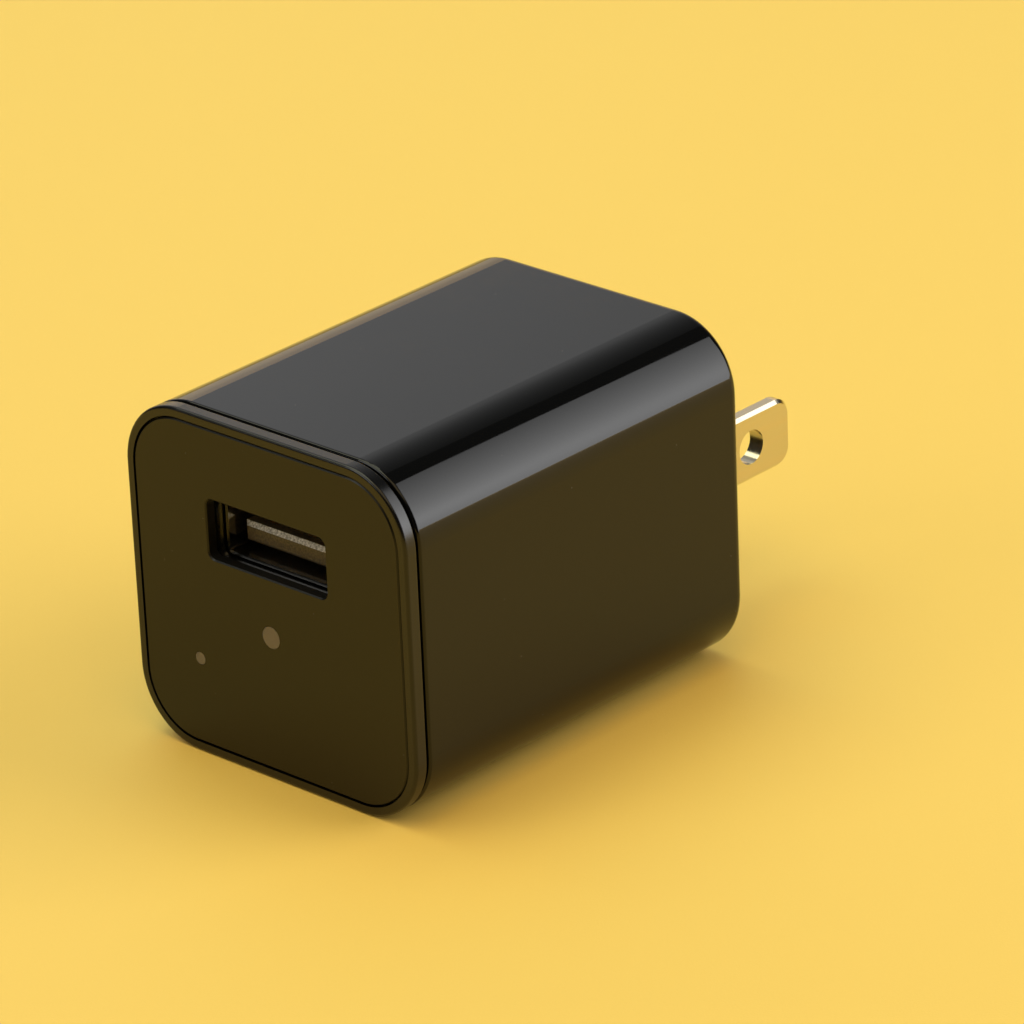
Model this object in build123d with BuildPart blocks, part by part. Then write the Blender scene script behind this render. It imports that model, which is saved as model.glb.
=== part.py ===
from build123d import *
import os

# A two-blade mains charger with one USB-A port. All sizes are in millimetres.
# The origin is midway between the two blades on the plug face. +Y runs out of the plug face
# along the blades, the port faces -Y, and +Z is up. A "distance" is measured from the plug
# face towards the port end, so a thing at distance d lies at y = -d.

os.makedirs("parts", exist_ok=True)

# ------------------------------------------------------------------ body
BODY_WIDTH = 32.0
BODY_HEIGHT = 31.5
BODY_DEPTH = 41.5
BODY_CORNER_R = 6.4
BODY_CENTRE_Z = 2.1          # the blades sit a little below the middle of the body
HOUSING_WALL = 1.8
REAR_WALL = 2.4
REAR_EDGE_R = 1.0
SEAM_EDGE_R = 0.3

# ------------------------------------------------------------------ bezel, panel and seam
FLANGE_DEPTH = 1.3
FLANGE_EDGE_R = 0.3
SEAM_GAP = 0.3
SEAM_DEPTH = 0.6
RIM_WIDTH = 0.85
PANEL_GAP = 0.15
PANEL_THICKNESS = 1.0
PANEL_EDGE_CHAMFER = 0.12
ADHESIVE_THICKNESS = 0.15
ADHESIVE_INSET = 0.8
BEZEL_FLOOR = 1.2
SKIRT_CLEARANCE = 0.1
SKIRT_WALL = 1.2
SKIRT_LENGTH = 4.0
SNAP_HEIGHT = 0.4
SNAP_DEPTH = 0.8
SNAP_LENGTH = 10.0
SNAP_DISTANCE_BEHIND_SEAM = 2.4
SNAP_CLEARANCE = 0.15

# ------------------------------------------------------------------ port
PORT_ABOVE_CENTRE = 5.65
PORT_OPENING_WIDTH = 13.6
PORT_OPENING_HEIGHT = 5.45
PORT_OPENING_R = 0.7
SHELL_INNER_WIDTH = 12.5
SHELL_INNER_HEIGHT = 5.12
SHELL_SHEET = 0.3
SHELL_CORNER_R = 0.4
SHELL_BEHIND_FACE = 2.0
SHELL_CLEARANCE = 0.2
SHELL_LEG_WIDTH = 1.6
SHELL_LEG_REACH = 0.9
SHELL_LEG_ROOT = 0.2
TONGUE_WIDTH = 11.1
TONGUE_THICKNESS = 1.84
TONGUE_BEHIND_SHELL = 1.1
TONGUE_ABOVE_FLOOR = 0.65
TONGUE_NOSE = 1.2
TONGUE_NOSE_BEVEL = 0.35
INSULATOR_BASE = 2.0
INSULATOR_CLEARANCE = 0.05
CONTACT_WIDTH = 1.0
CONTACT_THICKNESS = 0.25
CONTACT_PLACES = (-3.5, -1.0, 1.0, 3.5)
CONTACT_SLOT_WIDTH = 1.3
CONTACT_SLOT_DEPTH = 1.15
CONTACT_CROWN = 0.35         # the crown's middle line above the tongue's face
CONTACT_ROOT_LIFT = 0.3      # clear space under a contact's root
CONTACT_ROOT_GAP = 0.1
CONTACT_TIP_GAP = 0.3
CONTACT_TIP_RUN = 1.3
CONTACT_TIP_DIP = 0.3
CONTACT_BEND_R = 0.6
TAIL_REACH = 0.8
FINGER_WIDTH = 1.9
FINGER_LENGTH = 5.6
FINGER_RISE = 0.38
FINGER_GAP = 0.35
FINGER_SPACING = 4.4
FINGER_ROOT_BEHIND_SHELL = 9.2
FINGER_SHEET = 0.27
FINGER_TUCK = 0.4            # how far a finger's root runs into the wall
FINGER_STRAIGHT = 0.5
FINGER_CREST_RUN = 1.0
FINGER_TIP_GAP = 0.1
FINGER_BEND_R = 0.4

# ------------------------------------------------------------------ lights
STATUS_LIGHT_D = 1.95
STATUS_LIGHT_X = 0.0
STATUS_LIGHT_ABOVE_FLOOR = 11.51
CHARGE_LIGHT_D = 1.1
CHARGE_LIGHT_X = -8.6
CHARGE_LIGHT_ABOVE_FLOOR = 7.1
LIGHT_HOLE_CLEARANCE = 0.03
GUIDE_SHOULDER = 0.4
GUIDE_BOSS_LENGTH = 3.0
GUIDE_BOSS_WALL = 0.7
LED_LENGTH = 2.0
LED_WIDTH = 1.25
LED_HEIGHT = 0.8
LED_GAP = 0.3
LED_LENS_LENGTH = 1.4
LED_LENS_TAPER = 12

# ------------------------------------------------------------------ plug blades
BLADE_SPACING = 12.7
BLADE_THICKNESS = 1.5
BLADE_WIDTH = 6.35
BLADE_LENGTH = 17.0
BLADE_TIP_R = 1.7
BLADE_CHAMFER = 0.3
BLADE_HOLE_D = 3.2
BLADE_HOLE_FROM_FACE = 11.7
BLADE_SLOT_CLEARANCE = 0.04
SHOULDER_WIDTH = 8.6
SHOULDER_LENGTH = 1.6
TAIL_WIDTH = 4.0
TAIL_LENGTH = 2.8
RETAINER_THICKNESS = 1.4
RETAINER_MARGIN = 1.6
RETAINER_CORNER_R = 1.0
STAKE_D = 1.7
STAKE_HEAD_D = 2.6
STAKE_HEAD = 0.5
STAKE_OFFSET_X = 3.0
STAKE_OFFSET_Z = 3.6

# ------------------------------------------------------------------ circuit boards
BOARD_THICKNESS = 1.2
BOARD_STANDOFF = 3.25
BOARD_SIDE_CLEARANCE = 0.55
BOARD_CORNER_R = 1.0
BOARD_BEHIND_SKIRT = 0.6
BOARD_REAR_DISTANCE = 6.2
RAIL_HEIGHT = 1.0
RAIL_REACH = 1.2
RAIL_CLEARANCE = 0.05
USB_BOARD_SIDE_MARGIN = 2.2
USB_BOARD_BEHIND_FACE = 14.0
USB_BOARD_ABOVE_MAIN = 1.3
USB_BOARD_TOP_MARGIN = 1.8
STOP_RIB_DEPTH = 1.5
STOP_RIB_OVERLAP = 0.8
STOP_RIB_HEIGHT = 13.0
SHEET_THICKNESS = 0.3
SHEET_MARGIN = 0.6
LEAD_D = 0.6
LEAD_HOLE_D = 0.9
LEAD_REACH = 0.8             # how far a lead stands out under the board

# ------------------------------------------------------------------ worked out from the above
INNER_WIDTH = BODY_WIDTH - 2 * HOUSING_WALL
INNER_HEIGHT = BODY_HEIGHT - 2 * HOUSING_WALL
INNER_CORNER_R = BODY_CORNER_R - HOUSING_WALL
FLOOR_Z = BODY_CENTRE_Z - INNER_HEIGHT / 2
SEAM_DISTANCE = BODY_DEPTH - FLANGE_DEPTH
HOUSING_LENGTH = SEAM_DISTANCE - SEAM_GAP
PANEL_INSET = RIM_WIDTH + PANEL_GAP
PANEL_WIDTH = BODY_WIDTH - 2 * PANEL_INSET
PANEL_HEIGHT = BODY_HEIGHT - 2 * PANEL_INSET
PANEL_CORNER_R = BODY_CORNER_R - PANEL_INSET
PANEL_BACK = BODY_DEPTH - PANEL_THICKNESS
RECESS_FLOOR = PANEL_BACK - ADHESIVE_THICKNESS
BEZEL_BACK = RECESS_FLOOR - BEZEL_FLOOR
SKIRT_END = HOUSING_LENGTH - SKIRT_LENGTH
SNAP_DISTANCE = HOUSING_LENGTH - SNAP_DISTANCE_BEHIND_SEAM
PORT_Z = BODY_CENTRE_Z + PORT_ABOVE_CENTRE
SHELL_OUTER_WIDTH = SHELL_INNER_WIDTH + 2 * SHELL_SHEET
SHELL_OUTER_HEIGHT = SHELL_INNER_HEIGHT + 2 * SHELL_SHEET
SHELL_FRONT = BODY_DEPTH - SHELL_BEHIND_FACE
USB_BOARD_FRONT = BODY_DEPTH - USB_BOARD_BEHIND_FACE
USB_BOARD_REAR = USB_BOARD_FRONT - BOARD_THICKNESS
INSULATOR_FRONT = USB_BOARD_FRONT + INSULATOR_BASE
TONGUE_FRONT = SHELL_FRONT - TONGUE_BEHIND_SHELL
TONGUE_BOTTOM_Z = PORT_Z - SHELL_INNER_HEIGHT / 2 + TONGUE_ABOVE_FLOOR
TONGUE_TOP_Z = TONGUE_BOTTOM_Z + TONGUE_THICKNESS
SLOT_FLOOR_Z = TONGUE_TOP_Z - CONTACT_SLOT_DEPTH
CONTACT_ROOT_Z = SLOT_FLOOR_Z + CONTACT_THICKNESS / 2 + CONTACT_ROOT_LIFT
STATUS_LIGHT_Z = FLOOR_Z + STATUS_LIGHT_ABOVE_FLOOR
CHARGE_LIGHT_Z = FLOOR_Z + CHARGE_LIGHT_ABOVE_FLOOR
SHOULDER_DISTANCE = REAR_WALL + SHOULDER_LENGTH
RETAINER_FRONT = SHOULDER_DISTANCE + RETAINER_THICKNESS
TAIL_END = RETAINER_FRONT + TAIL_LENGTH
BOARD_BOTTOM_Z = FLOOR_Z + BOARD_STANDOFF
BOARD_TOP_Z = BOARD_BOTTOM_Z + BOARD_THICKNESS
BOARD_FRONT_DISTANCE = SKIRT_END - BOARD_BEHIND_SKIRT
BOARD_HALF_WIDTH = INNER_WIDTH / 2 - BOARD_SIDE_CLEARANCE
USB_BOARD_WIDTH = INNER_WIDTH - 2 * USB_BOARD_SIDE_MARGIN
USB_BOARD_BOTTOM_Z = BOARD_TOP_Z + USB_BOARD_ABOVE_MAIN
USB_BOARD_TOP_Z = FLOOR_Z + INNER_HEIGHT - USB_BOARD_TOP_MARGIN
LIGHTS = (
    ("status", STATUS_LIGHT_X, STATUS_LIGHT_Z, STATUS_LIGHT_D / 2),
    ("charge", CHARGE_LIGHT_X, CHARGE_LIGHT_Z, CHARGE_LIGHT_D / 2),
)

# ------------------------------------------------------------------ sizes of the larger board parts
BULK_CAPACITOR_R = 4.0
BULK_CAPACITOR_HEIGHT = 15.0
BULK_LEAD_PITCH = 3.5
OUTPUT_CAPACITOR_R = 3.15
OUTPUT_CAPACITOR_HEIGHT = 8.6
OUTPUT_LEAD_PITCH = 2.5
CORE_WIDTH = 13.2
CORE_LENGTH = 12.0
TAPE_THICKNESS = 0.12
DIODE_LENGTH = 4.3
DIODE_TAB_SPAN = 5.0
DIODE_TAB_LENGTH = 0.7
PART_GAP = 0.4               # the least room between two tall parts side by side
CLOSE_GAP = 0.2              # and where they stand one behind the other

# ------------------------------------------------------------------ places on the main board
# The front group stands in front of the USB board, the rear group between it and the blades.
# Across the board, the output capacitor stands against the right rail with the diode beside it,
# and the transformer against the left stop rib with the bulk capacitors beside it. The inductor
# keeps its place behind the transformer, and the fuse its place beside the bulk capacitors.
RAIL_INNER = BOARD_HALF_WIDTH - RAIL_REACH
STOP_RIB_INNER = USB_BOARD_WIDTH / 2 - STOP_RIB_OVERLAP
RIB_GAP = 0.18
INDUCTOR_FROM_TRANSFORMER = 4.7
FUSE_FROM_BULK = 9.02
OUTPUT_CAPACITOR_X = RAIL_INNER - CLOSE_GAP - OUTPUT_CAPACITOR_R
DIODE_X = OUTPUT_CAPACITOR_X - OUTPUT_CAPACITOR_R - PART_GAP - (DIODE_TAB_SPAN + DIODE_TAB_LENGTH) / 2
TRANSFORMER_X = -(STOP_RIB_INNER - RIB_GAP - TAPE_THICKNESS - CORE_WIDTH / 2)
BULK_X = TRANSFORMER_X + CORE_WIDTH / 2 + TAPE_THICKNESS + PART_GAP + BULK_CAPACITOR_R
Y_CAPACITOR_X = -4.2
LINK_X = 1.8
INDUCTOR_X = TRANSFORMER_X - INDUCTOR_FROM_TRANSFORMER
FUSE_X = BULK_X - FUSE_FROM_BULK
CONTROLLER_X = -4.0
CHIP_RESISTOR_X = 3.0
CHIP_X = 0.5
CHIP_PITCH = 2.0

DIODE_Y = -(USB_BOARD_FRONT + 4.9)
OUTPUT_CAPACITOR_Y = -(USB_BOARD_FRONT + 4.2)
Y_CAPACITOR_Y = -(USB_BOARD_FRONT + 3.8)
CHIP_CAPACITOR_Y = -(USB_BOARD_FRONT + 3.0)
TRANSFORMER_Y = -(USB_BOARD_REAR - 7.1)
FRONT_BULK_Y = -(USB_BOARD_REAR - STOP_RIB_DEPTH - CLOSE_GAP - BULK_CAPACITOR_R)
REAR_BULK_Y = FRONT_BULK_Y + 2 * BULK_CAPACITOR_R + CLOSE_GAP
INDUCTOR_Y = -(BOARD_REAR_DISTANCE + 4.65)
FUSE_Y = -(BOARD_REAR_DISTANCE + 4.2)
BRIDGE_Y = -(BOARD_REAR_DISTANCE + 3.3)
REAR_RESISTOR_Y = -(BOARD_REAR_DISTANCE + 3.0)

DIODE_AT = (DIODE_X, DIODE_Y)
OUTPUT_CAPACITOR_AT = (OUTPUT_CAPACITOR_X, OUTPUT_CAPACITOR_Y)
Y_CAPACITOR_AT = (Y_CAPACITOR_X, Y_CAPACITOR_Y)
FRONT_BULK_AT = (BULK_X, FRONT_BULK_Y)
REAR_BULK_AT = (BULK_X, REAR_BULK_Y)
INDUCTOR_AT = (INDUCTOR_X, INDUCTOR_Y)
FUSE_AT = (FUSE_X, FUSE_Y)
BRIDGE_AT = (FUSE_X, BRIDGE_Y)
CONTROLLER_AT = (CONTROLLER_X, TRANSFORMER_Y)
CHIP_RESISTOR_PLACES = (
    (CHIP_RESISTOR_X, REAR_RESISTOR_Y), (CHIP_RESISTOR_X, TRANSFORMER_Y), (CHIP_X, TRANSFORMER_Y),
)
CHIP_CAPACITOR_PLACES = ((CHIP_X, CHIP_CAPACITOR_Y), (CHIP_X - CHIP_PITCH, CHIP_CAPACITOR_Y))


def section(distance, height=0.0):
    """The plane across the body at this distance from the plug face, X across and Z up."""
    return Plane(origin=(0, -distance, height), x_dir=(1, 0, 0), z_dir=(0, -1, 0))


def save(piece, name):
    """Label a finished piece and write its STEP file."""
    piece.part.label = name
    export_step(piece.part, f"parts/{name}.step")


# ================================================================== housing and front
with BuildPart() as housing_shell:
    with BuildSketch(section(0, BODY_CENTRE_Z)):
        RectangleRounded(BODY_WIDTH, BODY_HEIGHT, BODY_CORNER_R)
    extrude(amount=HOUSING_LENGTH)
    fillet(housing_shell.faces().sort_by(Axis.Y)[-1].edges(), REAR_EDGE_R)
    fillet(housing_shell.faces().sort_by(Axis.Y)[0].edges(), SEAM_EDGE_R)
    with BuildSketch(section(REAR_WALL, BODY_CENTRE_Z)):
        RectangleRounded(INNER_WIDTH, INNER_HEIGHT, INNER_CORNER_R)
    extrude(amount=HOUSING_LENGTH - REAR_WALL, mode=Mode.SUBTRACT)
    # slots for the two blades
    with BuildSketch(section(0)):
        with GridLocations(BLADE_SPACING, 0, 2, 1):
            Rectangle(BLADE_THICKNESS + 2 * BLADE_SLOT_CLEARANCE, BLADE_WIDTH + 2 * BLADE_SLOT_CLEARANCE)
    extrude(amount=REAR_WALL, mode=Mode.SUBTRACT)
    # grooves that the bezel's snap ribs spring into
    with BuildSketch(section(SNAP_DISTANCE - SNAP_CLEARANCE, BODY_CENTRE_Z)):
        with GridLocations(INNER_WIDTH, 0, 2, 1):
            Rectangle(2 * SNAP_HEIGHT, SNAP_LENGTH + 2 * SNAP_CLEARANCE)
    extrude(amount=SNAP_DEPTH + 2 * SNAP_CLEARANCE, mode=Mode.SUBTRACT)
    # rails above and below both edges of the main board
    for rail_z in (
        BOARD_BOTTOM_Z - RAIL_CLEARANCE - RAIL_HEIGHT / 2,
        BOARD_TOP_Z + RAIL_CLEARANCE + RAIL_HEIGHT / 2,
    ):
        with BuildSketch(section(REAR_WALL, rail_z)):
            with GridLocations(2 * BOARD_HALF_WIDTH, 0, 2, 1):
                Rectangle(2 * RAIL_REACH, RAIL_HEIGHT)
        extrude(amount=BOARD_FRONT_DISTANCE - REAR_WALL)
    # the ledge that stops the main board at the plug end
    with BuildSketch(section(REAR_WALL, (BOARD_TOP_Z + BOARD_BOTTOM_Z) / 2)):
        with GridLocations(2 * BOARD_HALF_WIDTH, 0, 2, 1):
            Rectangle(2 * RAIL_REACH, BOARD_THICKNESS + 2 * RAIL_HEIGHT)
    extrude(amount=BOARD_REAR_DISTANCE - REAR_WALL)
    # ribs behind the USB board that take the push of a plug
    with BuildSketch(section(USB_BOARD_REAR - STOP_RIB_DEPTH, BODY_CENTRE_Z)):
        for side in (-1, 1):
            rib_outer = (INNER_WIDTH + HOUSING_WALL) / 2
            with Locations((side * (STOP_RIB_INNER + rib_outer) / 2, 0)):
                Rectangle(rib_outer - STOP_RIB_INNER, STOP_RIB_HEIGHT)
    extrude(amount=STOP_RIB_DEPTH)
    # posts that are melted over the blade retainer
    for post_length, post_d, post_start in (
        (RETAINER_FRONT - REAR_WALL + STAKE_HEAD / 2, STAKE_D, REAR_WALL),
        (STAKE_HEAD, STAKE_HEAD_D, RETAINER_FRONT),
    ):
        with BuildSketch(section(post_start)):
            with GridLocations(2 * STAKE_OFFSET_X, 2 * STAKE_OFFSET_Z, 2, 2):
                Circle(post_d / 2)
        extrude(amount=post_length)
save(housing_shell, "housing_shell")

with BuildPart() as front_bezel:
    # flange, with its visible edges rounded
    with BuildSketch(section(SEAM_DISTANCE, BODY_CENTRE_Z)):
        RectangleRounded(BODY_WIDTH, BODY_HEIGHT, BODY_CORNER_R)
    extrude(amount=FLANGE_DEPTH)
    fillet(front_bezel.faces().sort_by(Axis.Y)[0].edges(), FLANGE_EDGE_R)
    fillet(front_bezel.faces().sort_by(Axis.Y)[-1].edges(), SEAM_EDGE_R / 2)
    # land that seats on the housing's rim and leaves the shadow gap outside it
    with BuildSketch(section(HOUSING_LENGTH, BODY_CENTRE_Z)):
        RectangleRounded(
            BODY_WIDTH - 2 * SEAM_DEPTH,
            BODY_HEIGHT - 2 * SEAM_DEPTH,
            BODY_CORNER_R - SEAM_DEPTH,
        )
    extrude(amount=SEAM_GAP)
    # skirt inside the housing
    with BuildSketch(section(SKIRT_END, BODY_CENTRE_Z)):
        RectangleRounded(
            INNER_WIDTH - 2 * SKIRT_CLEARANCE,
            INNER_HEIGHT - 2 * SKIRT_CLEARANCE,
            INNER_CORNER_R - SKIRT_CLEARANCE,
        )
    extrude(amount=SKIRT_LENGTH)
    with BuildSketch(section(SNAP_DISTANCE, BODY_CENTRE_Z)):
        with GridLocations(INNER_WIDTH - 2 * SKIRT_CLEARANCE, 0, 2, 1):
            Rectangle(2 * (SNAP_HEIGHT - SKIRT_CLEARANCE), SNAP_LENGTH)
    extrude(amount=SNAP_DEPTH)
    with BuildSketch(section(SKIRT_END, BODY_CENTRE_Z)):
        RectangleRounded(
            INNER_WIDTH - 2 * SKIRT_CLEARANCE - 2 * SKIRT_WALL,
            INNER_HEIGHT - 2 * SKIRT_CLEARANCE - 2 * SKIRT_WALL,
            INNER_CORNER_R - SKIRT_CLEARANCE - SKIRT_WALL,
        )
    extrude(amount=BEZEL_BACK - SKIRT_END, mode=Mode.SUBTRACT)
    # recess for the panel
    with BuildSketch(section(RECESS_FLOOR, BODY_CENTRE_Z)):
        RectangleRounded(
            PANEL_WIDTH + 2 * PANEL_GAP,
            PANEL_HEIGHT + 2 * PANEL_GAP,
            PANEL_CORNER_R + PANEL_GAP,
        )
    extrude(amount=BODY_DEPTH - RECESS_FLOOR, mode=Mode.SUBTRACT)
    # bosses that hold the light guides
    for light_name, light_x, light_z, light_r in LIGHTS:
        guide_r = light_r + GUIDE_SHOULDER + LIGHT_HOLE_CLEARANCE
        with BuildSketch(section(BEZEL_BACK - GUIDE_BOSS_LENGTH)):
            with Locations((light_x, light_z)):
                Circle(guide_r + GUIDE_BOSS_WALL)
        extrude(amount=GUIDE_BOSS_LENGTH + BEZEL_FLOOR / 2)
        with BuildSketch(section(BEZEL_BACK - GUIDE_BOSS_LENGTH)):
            with Locations((light_x, light_z)):
                Circle(guide_r)
        extrude(amount=GUIDE_BOSS_LENGTH, mode=Mode.SUBTRACT)
        with BuildSketch(section(BEZEL_BACK)):
            with Locations((light_x, light_z)):
                Circle(light_r + LIGHT_HOLE_CLEARANCE)
        extrude(amount=BEZEL_FLOOR, mode=Mode.SUBTRACT)
    # window for the receptacle
    with BuildSketch(section(BEZEL_BACK, PORT_Z)):
        RectangleRounded(
            SHELL_OUTER_WIDTH + 2 * SHELL_CLEARANCE,
            SHELL_OUTER_HEIGHT + 2 * SHELL_CLEARANCE,
            SHELL_CORNER_R + SHELL_SHEET + SHELL_CLEARANCE,
        )
    extrude(amount=BEZEL_FLOOR, mode=Mode.SUBTRACT)
save(front_bezel, "front_bezel")

with BuildPart() as front_panel:
    with BuildSketch(section(PANEL_BACK, BODY_CENTRE_Z)):
        RectangleRounded(PANEL_WIDTH, PANEL_HEIGHT, PANEL_CORNER_R)
    extrude(amount=PANEL_THICKNESS)
    with BuildSketch(section(PANEL_BACK, PORT_Z)):
        RectangleRounded(PORT_OPENING_WIDTH, PORT_OPENING_HEIGHT, PORT_OPENING_R)
    extrude(amount=PANEL_THICKNESS, mode=Mode.SUBTRACT)
    chamfer(front_panel.faces().sort_by(Axis.Y)[0].edges(), PANEL_EDGE_CHAMFER)
    for light_name, light_x, light_z, light_r in LIGHTS:
        with BuildSketch(section(PANEL_BACK)):
            with Locations((light_x, light_z)):
                Circle(light_r + LIGHT_HOLE_CLEARANCE)
        extrude(amount=PANEL_THICKNESS, mode=Mode.SUBTRACT)
save(front_panel, "front_panel")

with BuildPart() as panel_adhesive:
    with BuildSketch(section(RECESS_FLOOR, BODY_CENTRE_Z)):
        RectangleRounded(
            PANEL_WIDTH - 2 * ADHESIVE_INSET,
            PANEL_HEIGHT - 2 * ADHESIVE_INSET,
            PANEL_CORNER_R - ADHESIVE_INSET,
        )
    extrude(amount=ADHESIVE_THICKNESS)
    with BuildSketch(section(RECESS_FLOOR, PORT_Z)):
        RectangleRounded(
            PORT_OPENING_WIDTH + 2 * ADHESIVE_INSET,
            PORT_OPENING_HEIGHT + 2 * ADHESIVE_INSET,
            PORT_OPENING_R,
        )
    extrude(amount=ADHESIVE_THICKNESS, mode=Mode.SUBTRACT)
    for light_name, light_x, light_z, light_r in LIGHTS:
        with BuildSketch(section(RECESS_FLOOR)):
            with Locations((light_x, light_z)):
                Circle(light_r + ADHESIVE_INSET)
        extrude(amount=ADHESIVE_THICKNESS, mode=Mode.SUBTRACT)
save(panel_adhesive, "panel_adhesive")

# ================================================================== light guides and their LEDs
for light_name, light_x, light_z, light_r in LIGHTS:
    with BuildPart() as light_guide:
        with BuildSketch(section(BEZEL_BACK)):
            with Locations((light_x, light_z)):
                Circle(light_r)
        extrude(amount=BODY_DEPTH - BEZEL_BACK)
        with BuildSketch(section(USB_BOARD_FRONT + LED_HEIGHT + LED_GAP)):
            with Locations((light_x, light_z)):
                Circle(light_r + GUIDE_SHOULDER)
        extrude(amount=BEZEL_BACK - USB_BOARD_FRONT - LED_HEIGHT - LED_GAP)
    save(light_guide, f"{light_name}_light_guide")

    with BuildPart() as led:
        with BuildSketch(section(USB_BOARD_FRONT, light_z)):
            with Locations((light_x, 0)):
                Rectangle(LED_LENGTH, LED_WIDTH)
        extrude(amount=LED_HEIGHT / 2)
        with BuildSketch(section(USB_BOARD_FRONT + LED_HEIGHT / 2, light_z)):
            with Locations((light_x, 0)):
                Rectangle(LED_LENS_LENGTH, LED_WIDTH)
        extrude(amount=LED_HEIGHT / 2, taper=LED_LENS_TAPER)
    save(led, f"{light_name}_led")

# ================================================================== blades and what holds them
for side_name, side in (("left", -1), ("right", 1)):
    blade_x = side * BLADE_SPACING / 2
    with BuildPart() as plug_blade:
        with BuildSketch(Plane.YZ.offset(blade_x - BLADE_THICKNESS / 2)) as prong:
            with Locations(((BLADE_LENGTH - REAR_WALL) / 2, 0)):
                Rectangle(BLADE_LENGTH + REAR_WALL, BLADE_WIDTH)
            fillet(prong.vertices().group_by(Axis.X)[-1], BLADE_TIP_R)
        extrude(amount=BLADE_THICKNESS)
        chamfer(plug_blade.faces().sort_by(Axis.X)[0].edges(), BLADE_CHAMFER)
        chamfer(plug_blade.faces().sort_by(Axis.X)[-1].edges(), BLADE_CHAMFER)
        with BuildSketch(Plane.YZ.offset(blade_x - BLADE_THICKNESS / 2)):
            with Locations((BLADE_HOLE_FROM_FACE, 0)):
                Circle(BLADE_HOLE_D / 2)
        extrude(amount=BLADE_THICKNESS, mode=Mode.SUBTRACT)
        with BuildSketch(Plane.YZ.offset(blade_x - BLADE_THICKNESS / 2)):
            with Locations((-REAR_WALL - SHOULDER_LENGTH / 2, 0)):
                Rectangle(SHOULDER_LENGTH, SHOULDER_WIDTH)
            with Locations((-(SHOULDER_DISTANCE + TAIL_END) / 2, 0)):
                Rectangle(TAIL_END - SHOULDER_DISTANCE, TAIL_WIDTH)
        extrude(amount=BLADE_THICKNESS)
    save(plug_blade, f"plug_blade_{side_name}")

with BuildPart() as blade_retainer:
    with BuildSketch(section(SHOULDER_DISTANCE)):
        RectangleRounded(
            BLADE_SPACING + BLADE_THICKNESS + 2 * RETAINER_MARGIN,
            SHOULDER_WIDTH + RETAINER_MARGIN,
            RETAINER_CORNER_R,
        )
        with GridLocations(BLADE_SPACING, 0, 2, 1):
            Rectangle(
                BLADE_THICKNESS + 2 * BLADE_SLOT_CLEARANCE,
                TAIL_WIDTH + 2 * BLADE_SLOT_CLEARANCE,
                mode=Mode.SUBTRACT,
            )
        with GridLocations(2 * STAKE_OFFSET_X, 2 * STAKE_OFFSET_Z, 2, 2):
            Circle(STAKE_D / 2 + BLADE_SLOT_CLEARANCE, mode=Mode.SUBTRACT)
    extrude(amount=RETAINER_THICKNESS)
save(blade_retainer, "blade_retainer")

# Each mains spring stands on the board and presses its upright face on a blade's tail.
SPRING_THICKNESS = 0.3
SPRING_WIDTH = 1.8
SPRING_OVERHANG = 0.1        # past the end of the blade's tail
SPRING_DISTANCE = TAIL_END - SPRING_OVERHANG
SPRING_BOW = 1.3
SPRING_FOOT = 1.6
SPRING_TOP_Z = 1.4
SPRING_LIP_OUT = 0.6
SPRING_LIP_RISE = 0.7
SPRING_BEND_R = 0.3
SPRING_FACE = BLADE_SPACING / 2 + BLADE_THICKNESS / 2
for side_name, side in (("left", -1), ("right", 1)):
    with BuildPart() as mains_spring:
        with BuildSketch(section(SPRING_DISTANCE - SPRING_WIDTH)):
            with BuildLine():
                contact_x = side * (SPRING_FACE + SPRING_THICKNESS / 2)
                FilletPolyline(
                    (contact_x + side * SPRING_LIP_OUT, SPRING_TOP_Z + SPRING_LIP_RISE),
                    (contact_x, SPRING_TOP_Z),
                    (contact_x, -TAIL_WIDTH / 2),
                    (contact_x + side * SPRING_BOW, (BOARD_TOP_Z - TAIL_WIDTH / 2) / 2),
                    (contact_x, BOARD_TOP_Z + SPRING_THICKNESS / 2),
                    (contact_x + side * SPRING_FOOT, BOARD_TOP_Z + SPRING_THICKNESS / 2),
                    radius=SPRING_BEND_R,
                )
            trace(line_width=SPRING_THICKNESS)
        extrude(amount=SPRING_WIDTH)
    save(mains_spring, f"mains_spring_{side_name}")

# ================================================================== USB receptacle
SHELL_LENGTH = SHELL_FRONT - USB_BOARD_FRONT
FINGER_ROOT = SHELL_FRONT - FINGER_ROOT_BEHIND_SHELL

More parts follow.
